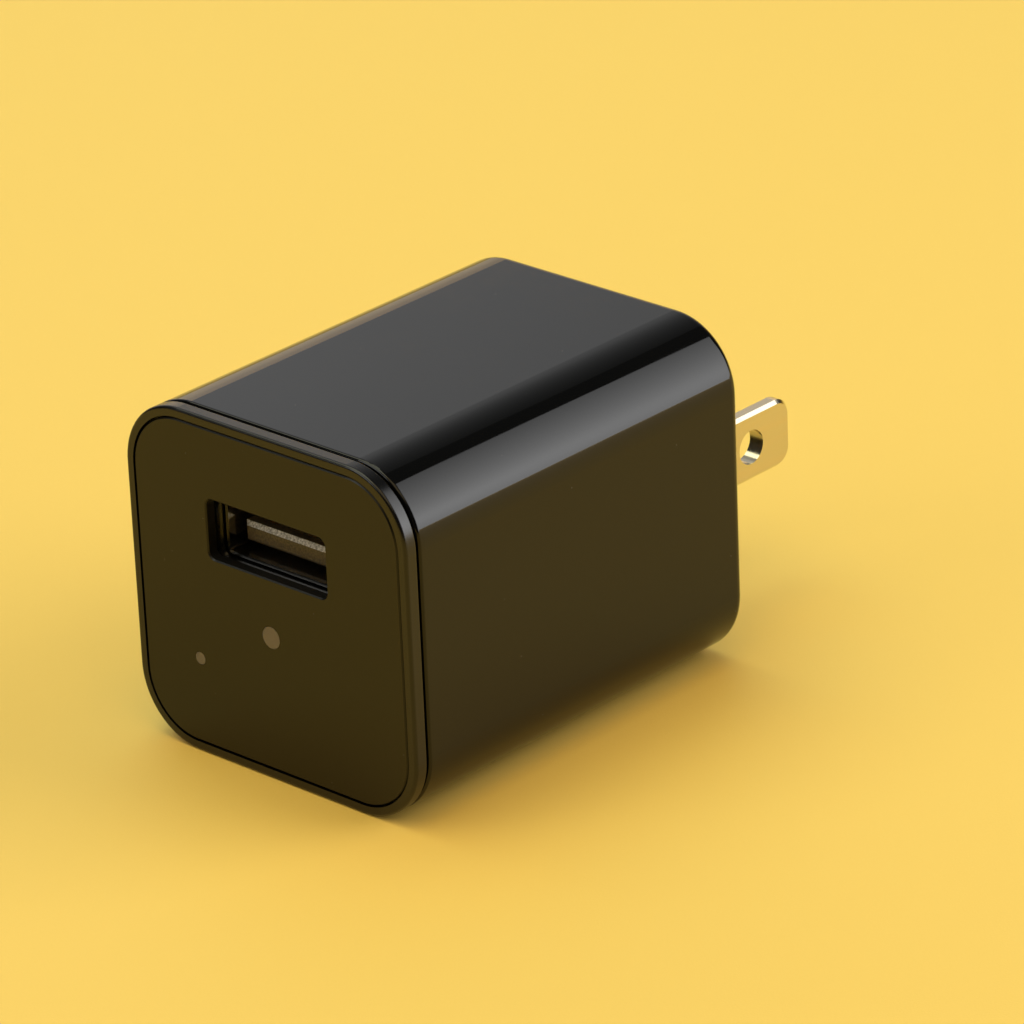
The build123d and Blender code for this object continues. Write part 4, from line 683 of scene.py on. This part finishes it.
def fibreglass_solder_masked(name, across):
    """Glass-epoxy laminate under green solder mask: broad copper areas show lighter through the
    mask and stand a little higher, and the cut edges are bare yellowish laminate."""
    material, tree, place = start_material(name, "#1F5B35", IOR=1.5)
    side = add(tree, "ShaderNodeTexCoord")
    facing = add(
        tree, "ShaderNodeVectorMath",
        {"operation": "DOT_PRODUCT", 1: tuple(float(axis == across) for axis in "XYZ")},
        {0: side.outputs["Normal"]},
    )
    square = add(tree, "ShaderNodeMath", {"operation": "MULTIPLY"}, {0: facing, 1: facing})
    masked = add(tree, "ShaderNodeMath", {"operation": "GREATER_THAN", 1: 0.5}, {0: square})
    # copper areas are 4 x 1.8 mm, parted by 0.3 mm gaps; the pattern lies in its own XY plane
    turn = math.radians(90) if across == "Y" else 0.0
    on_face = add(tree, "ShaderNodeMapping", {"Rotation": (turn, 0.0, 0.0)}, {"Vector": place})
    areas = add(
        tree, "ShaderNodeTexBrick",
        {
            "Color1": srgb("#FFFFFF"), "Color2": srgb("#FFFFFF"), "Mortar": srgb("#000000"), "Scale": 1.0,
            "Mortar Size": 0.15, "Mortar Smooth": 0.2, "Brick Width": 4.0, "Row Height": 1.8,
        },
        {"Vector": on_face},
    )
    copper = add(tree, "ShaderNodeRGBToBW", {}, {"Color": areas.outputs["Color"]})
    mask = add(
        tree, "ShaderNodeMix", {"data_type": "RGBA", "A": srgb("#17482A"), "B": srgb("#2B7444")},
        {"Factor": copper},
    )
    # glass yarns cross every 0.45 mm
    weave = add(tree, "ShaderNodeTexChecker", {"Scale": 1 / 0.45}, {"Vector": place})
    laminate = add(
        tree, "ShaderNodeMix", {"data_type": "RGBA", "A": srgb("#A89C63"), "B": srgb("#BBB07A")},
        {"Factor": weave.outputs["Fac"]},
    )
    tone = add(
        tree, "ShaderNodeMix", {"data_type": "RGBA"}, {"Factor": masked, "A": laminate, "B": mask}
    )
    gloss = add(
        tree, "ShaderNodeMapRange", {"To Min": 0.6, "To Max": 0.28},
        {"Value": masked},
    )
    etched = add(tree, "ShaderNodeBump", {"Distance": 0.035 * MM}, {"Height": copper})
    feed(tree, Base_Color=tone, Roughness=gloss, Normal=etched)
    return material


# ------------------------------------------------------------------ wound and soldered pieces
def helix(loop, turns, pitch, to_place):
    """Points of a winding: loop is one closed turn, and to_place puts (across, up, along) in space."""
    reach = [0.0]
    for here, ahead in zip(loop, loop[1:] + loop[:1]):
        reach.append(reach[-1] + (ahead - here).length)
    points = []
    for turn in range(turns):
        for spot, gone in zip(loop, reach):
            points.append(to_place(spot.x, spot.y, pitch * (turn + gone / reach[-1])))
    return points


def round_cornered(width, height, radius, steps):
    """One turn round a rectangle with round corners, as flat points."""
    loop = []
    for corner, (side, rise) in enumerate(((1, 1), (-1, 1), (-1, -1), (1, -1))):
        for step in range(steps + 1):
            angle = math.radians(90 * (corner + step / steps))
            loop.append(
                Vector((
                    side * (width / 2 - radius) + radius * math.cos(angle),
                    rise * (height / 2 - radius) + radius * math.sin(angle),
                ))
            )
    return loop


def wire(name, paths, diameter):
    """A curve with one round wire along each path."""
    curve = bpy.data.curves.new(name, "CURVE")
    curve.dimensions = "3D"
    curve.bevel_depth = diameter / 2
    curve.bevel_resolution = bpy.context.scene.charger_works.roundness
    curve.use_fill_caps = True
    for path in paths:
        spline = curve.splines.new("POLY")
        spline.points.add(len(path) - 1)
        for point, place in zip(spline.points, path):
            point.co = (*place, 1.0)
    return curve


def transformer_turns():
    """Two layers of wire round the bobbin, wound opposite ways, with two ends led down its side."""
    diameter = bpy.context.scene.charger_works.winding_wire
    low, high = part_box("transformer_winding")
    centre = middle("transformer_winding")
    pitch = diameter * TURN_SPACING
    turns = int((high.y - low.y - diameter) / pitch)
    start = centre.y - pitch * turns / 2
    board_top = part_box("main_board")[1].z
    paths = []
    for layer, way in ((0, 1), (1, -1)):
        inset = diameter * (0.5 + layer)
        corner = WINDING_CORNER - inset
        loop = round_cornered(high.x - low.x - 2 * inset, high.z - low.z - 2 * inset, corner, 5)
        coil = helix(
            loop, turns, pitch,
            lambda across, up, along: Vector((centre.x + way * across, start + along, centre.z + up)),
        )
        paths.append(coil)
    # each end of the outer layer runs down the side of the coil
    for spot in (paths[0][0], paths[0][-1]):
        drop = Vector((spot.x, spot.y, board_top + LEAD_OUT_HEIGHT))
        paths.append([spot.copy(), Vector((spot.x, spot.y, centre.z)), drop])
    return wire("transformer_winding_turns", paths, diameter)


def inductor_turns():
    """Two layers of wire on the drum core, wound opposite ways."""
    diameter = bpy.context.scene.charger_works.choke_wire
    low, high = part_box("inductor_winding")
    centre = middle("inductor_winding")
    pitch = diameter * TURN_SPACING
    turns = int((high.z - low.z - diameter) / pitch)
    start = centre.z - pitch * turns / 2
    paths = []
    for layer, way in ((0, 1), (1, -1)):
        radius = (high.x - low.x) / 2 - diameter * (0.5 + layer)
        loop = [
            Vector((radius * math.cos(math.radians(angle)), radius * math.sin(math.radians(angle))))
            for angle in range(0, 360, 15)
        ]
        paths.append(helix(
            loop, turns, pitch,
            lambda across, up, along: Vector((centre.x + across, centre.y + way * up, start + along)),
        ))
    return wire("inductor_winding_turns", paths, diameter)


def closed_mesh(name, bm):
    """A mesh from closed shapes, with their faces turned outwards."""
    bmesh.ops.recalc_face_normals(bm, faces=bm.faces)
    mesh = bpy.data.meshes.new(name)
    bm.to_mesh(mesh)
    bm.free()
    return mesh


def solder_cone(bm, foot, half, axis, way):
    """One closed joint: a ring of solder on the board that climbs its lead in a hollow curve."""
    works = bpy.context.scene.charger_works
    sides = 8 * works.roundness
    rise_steps = 6
    first, second = [i for i in range(3) if i != axis]
    rings = []
    for step in range(rise_steps + 1):
        share = step / rise_steps
        spread = works.pad_margin * (1 - share) ** 2.2
        ring = []
        for side in range(sides):
            angle = 2 * math.pi * side / sides
            spot = foot.copy()
            spot[first] += (half[first] + spread) * math.cos(angle)
            spot[second] += (half[second] + spread) * math.sin(angle)
            spot[axis] += way * works.solder_height * share
            ring.append(bm.verts.new(spot))
        rings.append(ring)
    for lower, upper in zip(rings, rings[1:]):
        for side in range(sides):
            ahead = (side + 1) % sides
            bm.faces.new((lower[side], lower[ahead], upper[ahead], upper[side])).smooth = True
    bm.faces.new(rings[0])
    bm.faces.new(rings[-1])


def solder_joints(name, nodes, axis, way, face):
    """Solder round every lead end of these nodes, on the board face at this height."""
    bm = bmesh.new()
    for node in nodes:
        for foot, half in flat_ends(node, axis, way):
            foot[axis] = face
            solder_cone(bm, foot, half, axis, way)
    return closed_mesh(name, bm)


def chip_end_caps(name, nodes, face):
    """Tinned ends of the small chip parts, each with its fillet of solder on the board below."""
    bm = bmesh.new()
    for node in nodes:
        for centre, half in flat_ends(node, 2, -1):
            low = centre.z - CAP_PROUD
            for end in (-1, 1):
                tip = centre.x + end * (half.x + CAP_PROUD)
                inner = tip - end * CAP_DEPTH
                outline = (
                    (inner, face), (inner, low), (tip, low),
                    (tip + end * 0.3 * CAP_FILLET, (face + centre.z) / 2), (tip + end * CAP_FILLET, face),
                )
                near, far = (
                    [bm.verts.new((x, centre.y + side * (half.y + CAP_PROUD), z)) for x, z in outline]
                    for side in (-1, 1)
                )
                bm.faces.new(near)
                bm.faces.new(far)
                for here in range(len(outline)):
                    ahead = (here + 1) % len(outline)
                    bm.faces.new((near[here], near[ahead], far[ahead], far[here]))
    return closed_mesh(name, bm)


# ------------------------------------------------------------------ operators
class CHARGER_OT_casing(bpy.types.Operator):
    """Finish the housing and the bezel"""

    bl_idname = "charger.casing"
    bl_label = "Casing"

    def execute(self, context):
        finish(polycarbonate_gloss_moulded(), "housing_shell")
        finish(polycarbonate_satin_moulded(), "front_bezel")
        return {"FINISHED"}


class CHARGER_OT_front_panel(bpy.types.Operator):
    """Finish the front panel, its adhesive and the two light guides"""

    bl_idname = "charger.front_panel"
    bl_label = "Front panel"

    def execute(self, context):
        finish(acrylic_smoked_cast(), "front_panel")
        finish(foam_tape_die_cut(), "panel_adhesive")
        finish(acrylic_frosted_turned(), "status_light_guide", "charge_light_guide")
        return {"FINISHED"}


class CHARGER_OT_plug(bpy.types.Operator):
    """Finish the blades, their retainer and the springs that carry the mains to the board"""

    bl_idname = "charger.plug"
    bl_label = "Plug blades"

    def execute(self, context):
        finish(brass_nickel_plated_stamped(), "plug_blade_left", "plug_blade_right")
        finish(polycarbonate_natural_moulded(), "blade_retainer")
        finish(brass_rolled(), "mains_spring_left", "mains_spring_right")
        return {"FINISHED"}


class CHARGER_OT_receptacle(bpy.types.Operator):
    """Finish the receptacle's shell, tongue and contacts"""

    bl_idname = "charger.receptacle"
    bl_label = "USB receptacle"

    def execute(self, context):
        finish(steel_nickel_plated_stamped(), "usb_shell")
        finish(crystal_polymer_glass_filled_moulded(), "usb_insulator")
        contacts = sorted(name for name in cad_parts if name.startswith("usb_contact_"))
        finish(bronze_gold_plated_stamped(), *contacts)
        return {"FINISHED"}


class CHARGER_OT_boards(bpy.types.Operator):
    """Finish the two boards, the link between them, the lights and the insulation sheet"""

    bl_idname = "charger.boards"
    bl_label = "Boards"

    def execute(self, context):
        finish(fibreglass_solder_masked("fibreglass_solder_masked_flat", "Z"), "main_board")
        finish(fibreglass_solder_masked("fibreglass_solder_masked_upright", "Y"), "usb_board")
        finish(nylon_glass_filled_moulded(), "board_link_header")
        finish(epoxy_milky_cast("status_led"), "status_led", "charge_led")
        finish(polypropylene_sheet_extruded(), "insulation_sheet")
        return {"FINISHED"}


class CHARGER_OT_transformer(bpy.types.Operator):
    """Finish the transformer and the inductor, and wind their coils"""

    bl_idname = "charger.transformer"
    bl_label = "Transformer"

    def execute(self, context):
        cores = ("transformer_core_front", "transformer_core_rear", "inductor_core")
        finish(ferrite_sintered_ground(), *cores)
        finish(phenolic_moulded(), "transformer_bobbin")
        finish(polyester_tape_wrapped(), "transformer_tape")
        copper = copper_enamelled_wound()
        new_piece(
            "transformer_winding_turns", transformer_turns(), copper, "winding_copper", "transformer_winding"
        )
        new_piece("inductor_winding_turns", inductor_turns(), copper, "winding_copper", "inductor_winding")
        return {"FINISHED"}


class CHARGER_OT_capacitors(bpy.types.Operator):
    """Finish the three electrolytic capacitors and the disc capacitor"""

    bl_idname = "charger.capacitors"
    bl_label = "Capacitors"

    def execute(self, context):
        upright = ("front_bulk_capacitor", "rear_bulk_capacitor", "output_capacitor")
        finish(aluminium_drawn(), *(f"{name}_can" for name in upright))
        finish(pvc_sleeve_shrunk(), *(f"{name}_sleeve" for name in upright))
        finish(rubber_moulded(), *(f"{name}_seal" for name in upright))
        finish(epoxy_powder_dipped(), "y_capacitor")
        return {"FINISHED"}


class CHARGER_OT_small_parts(bpy.types.Operator):
    """Finish the chips, the diode and the fusible resistor, and cap the small chips' ends"""

    bl_idname = "charger.small_parts"
    bl_label = "Small parts"

    def execute(self, context):
        finish(epoxy_transfer_moulded(), "bridge_rectifier", "controller_chip", "output_diode")
        finish(ceramic_fired(), "chip_resistors", "chip_capacitors")
        finish(lacquer_banded_dipped("fuse_resistor"), "fuse_resistor")
        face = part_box("main_board")[0].z
        caps = chip_end_caps("chip_end_caps", ("chip_resistors", "chip_capacitors"), face)
        new_piece("chip_end_caps", caps, solder_flowed(), "tinned_lead")
        return {"FINISHED"}


class CHARGER_OT_solder(bpy.types.Operator):
    """Finish every lead and solder it to its board"""

    bl_idname = "charger.solder"
    bl_label = "Leads and solder"

    def execute(self, context):
        leads = sorted(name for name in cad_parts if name.endswith(("_leads", "_pins", "_tabs")))
        finish(copper_tinned_drawn(), *leads)
        solder = solder_flowed()
        through_hole = [name for name in leads if name.endswith("_pins") or "capacitor" in name]
        through_hole += ["inductor_leads", "fuse_resistor_leads"]
        below = solder_joints("main_board_solder", through_hole, 2, -1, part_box("main_board")[0].z)
        new_piece("main_board_solder", below, solder, "tinned_lead")
        behind = solder_joints(
            "usb_board_solder", ("usb_contact_tails", "usb_shell", "board_link_pins"), 1, 1,
            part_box("usb_board")[1].y,
        )
        new_piece("usb_board_solder", behind, solder, "tinned_lead")
        return {"FINISHED"}


# ------------------------------------------------------------------ stage
def direction(azimuth, elevation):
    """A level-and-rise direction: azimuth turns from +Y towards +X, in degrees."""
    turn, rise = math.radians(azimuth), math.radians(elevation)
    return Vector((math.sin(turn) * math.cos(rise), math.cos(turn) * math.cos(rise), math.sin(rise)))


# Each light: where its plane faces the charger from (azimuth, elevation, distance in m), where its
# panel lies on that plane (left, right, bottom, top in m from the centre line), its colour, whether
# gloss mirrors it, and the hot spot of its lamp on the panel as shares of its width and height, with
# the reach in m over which it fades. The cool sky glow and the warm top light only tint the floor and
# its shadows: mirrored, they would draw coloured lines along the housing's edges.
SQUARE = (-0.4, 0.4, -0.4, 0.4)
LIGHTS = {
    "key": ((-120.0, 68.0, 1.0), SQUARE, "#FFFFE1", True, None),
    "fill": ((137.0, 60.0, 1.0), SQUARE, "#FFE3AA", True, None),
    "top": ((0.0, 86.0, 1.0), SQUARE, "#FFDF59", False, None),
    "sky": ((-55.0, 64.0, 1.0), SQUARE, "#59BCFF", False, None),
    "front": ((-155.0, 32.0, 1.0), (-0.3, 0.3, -0.2, 0.2), "#FFFFFF", True, None),
    "card": ((-50.0, 20.0, 1.0), (-0.9, 0.75, -0.33, 0.8), "#FFFFFF", True, (0.535, 0.3, 0.42)),
    "side": ((52.0, 18.0, 0.9), (-0.44, 0.36, -0.33, 0.62), "#FFFFFF", True, (0.44, 0.22, 0.65)),
}


def paper_coated_dyed():
    """Dyed, lightly coated studio paper: even and matt with a velvety 0.2 mm tooth."""
    colour = bpy.context.scene.charger_studio.floor
    material, tree, place = start_material("paper_coated_dyed", colour, IOR=1.33, Roughness=0.65)
    tooth = add(tree, "ShaderNodeTexNoise", {"Scale": 1 / 0.2, "Detail": 2.0}, {"Vector": place})
    tone = add(
        tree, "ShaderNodeMix",
        {"data_type": "RGBA", "A": tuple(0.96 * c for c in colour) + (1.0,), "B": (*colour, 1.0)},
        {"Factor": tooth},
    )
    felt = add(tree, "ShaderNodeBump", {"Distance": 0.01 * MM}, {"Height": tooth})
    feed(tree, Base_Color=tone, Normal=felt)
    return material


def sweep_floor(reach, curve_start, curve_radius, rise):
    """A sheet that lies flat under the charger and curves up far behind it, as seen by the camera."""
    outline = [(-reach, 0.0), (curve_start, 0.0)]
    steps = 12
    for step in range(1, steps + 1):
        angle = math.radians(90 * step / steps)
        outline.append((curve_start + curve_radius * math.sin(angle), curve_radius * (1 - math.cos(angle))))
    outline.append((curve_start + curve_radius, rise))
    bm = bmesh.new()
    left, right = ([bm.verts.new((side * reach, y, z)) for y, z in outline] for side in (-1, 1))
    for step in range(len(outline) - 1):
        bm.faces.new((left[step], right[step], right[step + 1], left[step + 1])).smooth = True
    mesh = bpy.data.meshes.new("paper_floor")
    bm.to_mesh(mesh)
    bm.free()
    return mesh


def hang_light(name, setting, power):
    """A rectangular soft box; with a hot spot, its glow fades away from the lamp inside it."""
    (azimuth, elevation, distance), (left, right, bottom, top), colour, mirrored, hot = setting
    light = bpy.data.lights.new(name, "AREA")
    light.shape = "RECTANGLE"
    light.size = right - left
    light.size_y = top - bottom
    light.energy = power
    light.color = srgb(colour)[:3]
    way = direction(azimuth, elevation)
    turn = way.to_track_quat("Z", "Y")
    lamp = bpy.data.objects.new(name, light)
    # the box's own X axis points left as the charger sees it
    offset = turn @ Vector((-(left + right) / 2, (bottom + top) / 2, 0.0))
    lamp.location = middle("housing_shell") + way * distance + offset
    lamp.rotation_euler = turn.to_euler()
    lamp.visible_camera = False
    lamp.visible_glossy = mirrored
    bpy.context.scene.collection.objects.link(lamp)
    if hot:
        light.use_nodes = True
        tree = light.node_tree
        across = add(tree, "ShaderNodeNewGeometry")
        spread = add(
            tree, "ShaderNodeVectorMath", {"operation": "MULTIPLY", 1: (light.size, light.size_y, 0.0)},
            {0: across.outputs["Parametric"]},
        )
        gone = add(
            tree, "ShaderNodeVectorMath",
            {"operation": "DISTANCE", 1: (hot[0] * light.size, hot[1] * light.size_y, 0.0)}, {0: spread},
        )
        share = add(tree, "ShaderNodeMath", {"operation": "DIVIDE", 1: -hot[2]}, {0: gone})
        fade = add(tree, "ShaderNodeMath", {"operation": "EXPONENT"}, {0: share})
        tree.links.new(fade.outputs["Value"], tree.nodes["Emission"].inputs["Strength"])


def place_camera(scene):
    """Stand the camera in front on the right, a little above the charger."""
    studio = scene.charger_studio
    data = bpy.data.cameras.new("camera")
    data.sensor_width = 36.0
    data.lens = studio.lens
    data.clip_start = 0.01
    back = direction(180.0 - math.degrees(studio.azimuth), math.degrees(studio.elevation))
    level = Vector((0, 0, 1)).cross(back).normalized()
    upright = back.cross(level)
    right = level * math.cos(studio.roll) + upright * math.sin(studio.roll)
    up = upright * math.cos(studio.roll) - level * math.sin(studio.roll)
    # the view is centred behind the front panel's middle, to leave room for the blades
    low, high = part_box("front_panel")
    panel = Vector(((low.x + high.x) / 2, low.y, (low.z + high.z) / 2))
    aim = panel + VIEW_SHIFT
    camera = bpy.data.objects.new("camera", data)
    camera.matrix_world = (
        Matrix.Translation(aim + back * studio.distance) @ Matrix((right, up, back)).transposed().to_4x4()
    )
    scene.collection.objects.link(camera)
    scene.camera = camera


class CHARGER_OT_stage(bpy.types.Operator):
    """Lay the floor, hang the lights and place the camera"""

    bl_idname = "charger.stage"
    bl_label = "Studio stage"

    def execute(self, context):
        scene = context.scene
        studio = scene.charger_studio
        scene.view_settings.view_transform = "Standard"
        world = bpy.data.worlds.new("studio_room")
        world.use_nodes = True
        room = world.node_tree.nodes["Background"]
        room.inputs["Color"].default_value = srgb("#FFFFFF")
        room.inputs["Strength"].default_value = ROOM_GLOW
        scene.world = world
        mesh = sweep_floor(FLOOR_REACH, FLOOR_FLAT, FLOOR_SWEEP_RADIUS, FLOOR_RISE)
        mesh.materials.append(paper_coated_dyed())
        floor = bpy.data.objects.new("paper_floor", mesh)
        floor.location.z = CAD_BOX[0].z
        floor.rotation_euler.z = studio.azimuth
        scene.collection.objects.link(floor)
        for name, setting in LIGHTS.items():
            hang_light(f"{name}_light", setting, getattr(studio, f"{name}_power"))
        place_camera(scene)
        return {"FINISHED"}


# ------------------------------------------------------------------ panel and registration
class CHARGER_PT_build(bpy.types.Panel):
    """Lists the settings and the steps in order"""

    bl_idname = "CHARGER_PT_build"
    bl_label = "USB wall charger"
    bl_space_type = "VIEW_3D"
    bl_region_type = "UI"
    bl_category = "Charger"

    def draw(self, context):
        scene = context.scene
        for group in (scene.charger_case, scene.charger_works, scene.charger_studio):
            box = self.layout.box()
            for name in type(group).__annotations__:
                box.prop(group, name)
        for step in STEPS:
            self.layout.operator(step.bl_idname)


STEPS = (
    CHARGER_OT_casing, CHARGER_OT_front_panel, CHARGER_OT_plug, CHARGER_OT_receptacle, CHARGER_OT_boards,
    CHARGER_OT_transformer, CHARGER_OT_capacitors, CHARGER_OT_small_parts, CHARGER_OT_solder,
    CHARGER_OT_stage,
)
CLASSES = (ChargerCase, ChargerWorks, ChargerStudio, *STEPS, CHARGER_PT_build)


def register():
    for item in CLASSES:
        bpy.utils.register_class(item)
    bpy.types.Scene.charger_case = PointerProperty(type=ChargerCase)
    bpy.types.Scene.charger_works = PointerProperty(type=ChargerWorks)
    bpy.types.Scene.charger_studio = PointerProperty(type=ChargerStudio)


def unregister():
    del bpy.types.Scene.charger_studio
    del bpy.types.Scene.charger_works
    del bpy.types.Scene.charger_case
    for item in reversed(CLASSES):
        bpy.utils.unregister_class(item)


def main():
    register()
    bpy.ops.charger.casing()
    bpy.ops.charger.front_panel()
    bpy.ops.charger.plug()
    bpy.ops.charger.receptacle()
    bpy.ops.charger.boards()
    bpy.ops.charger.transformer()
    bpy.ops.charger.capacitors()
    bpy.ops.charger.small_parts()
    bpy.ops.charger.solder()
    bpy.ops.charger.stage()
    unfinished = set(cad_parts) - FINISHED
    if unfinished:
        raise RuntimeError(f"these nodes have no finish: {sorted(unfinished)}")


if __name__ == "__main__":
    main()
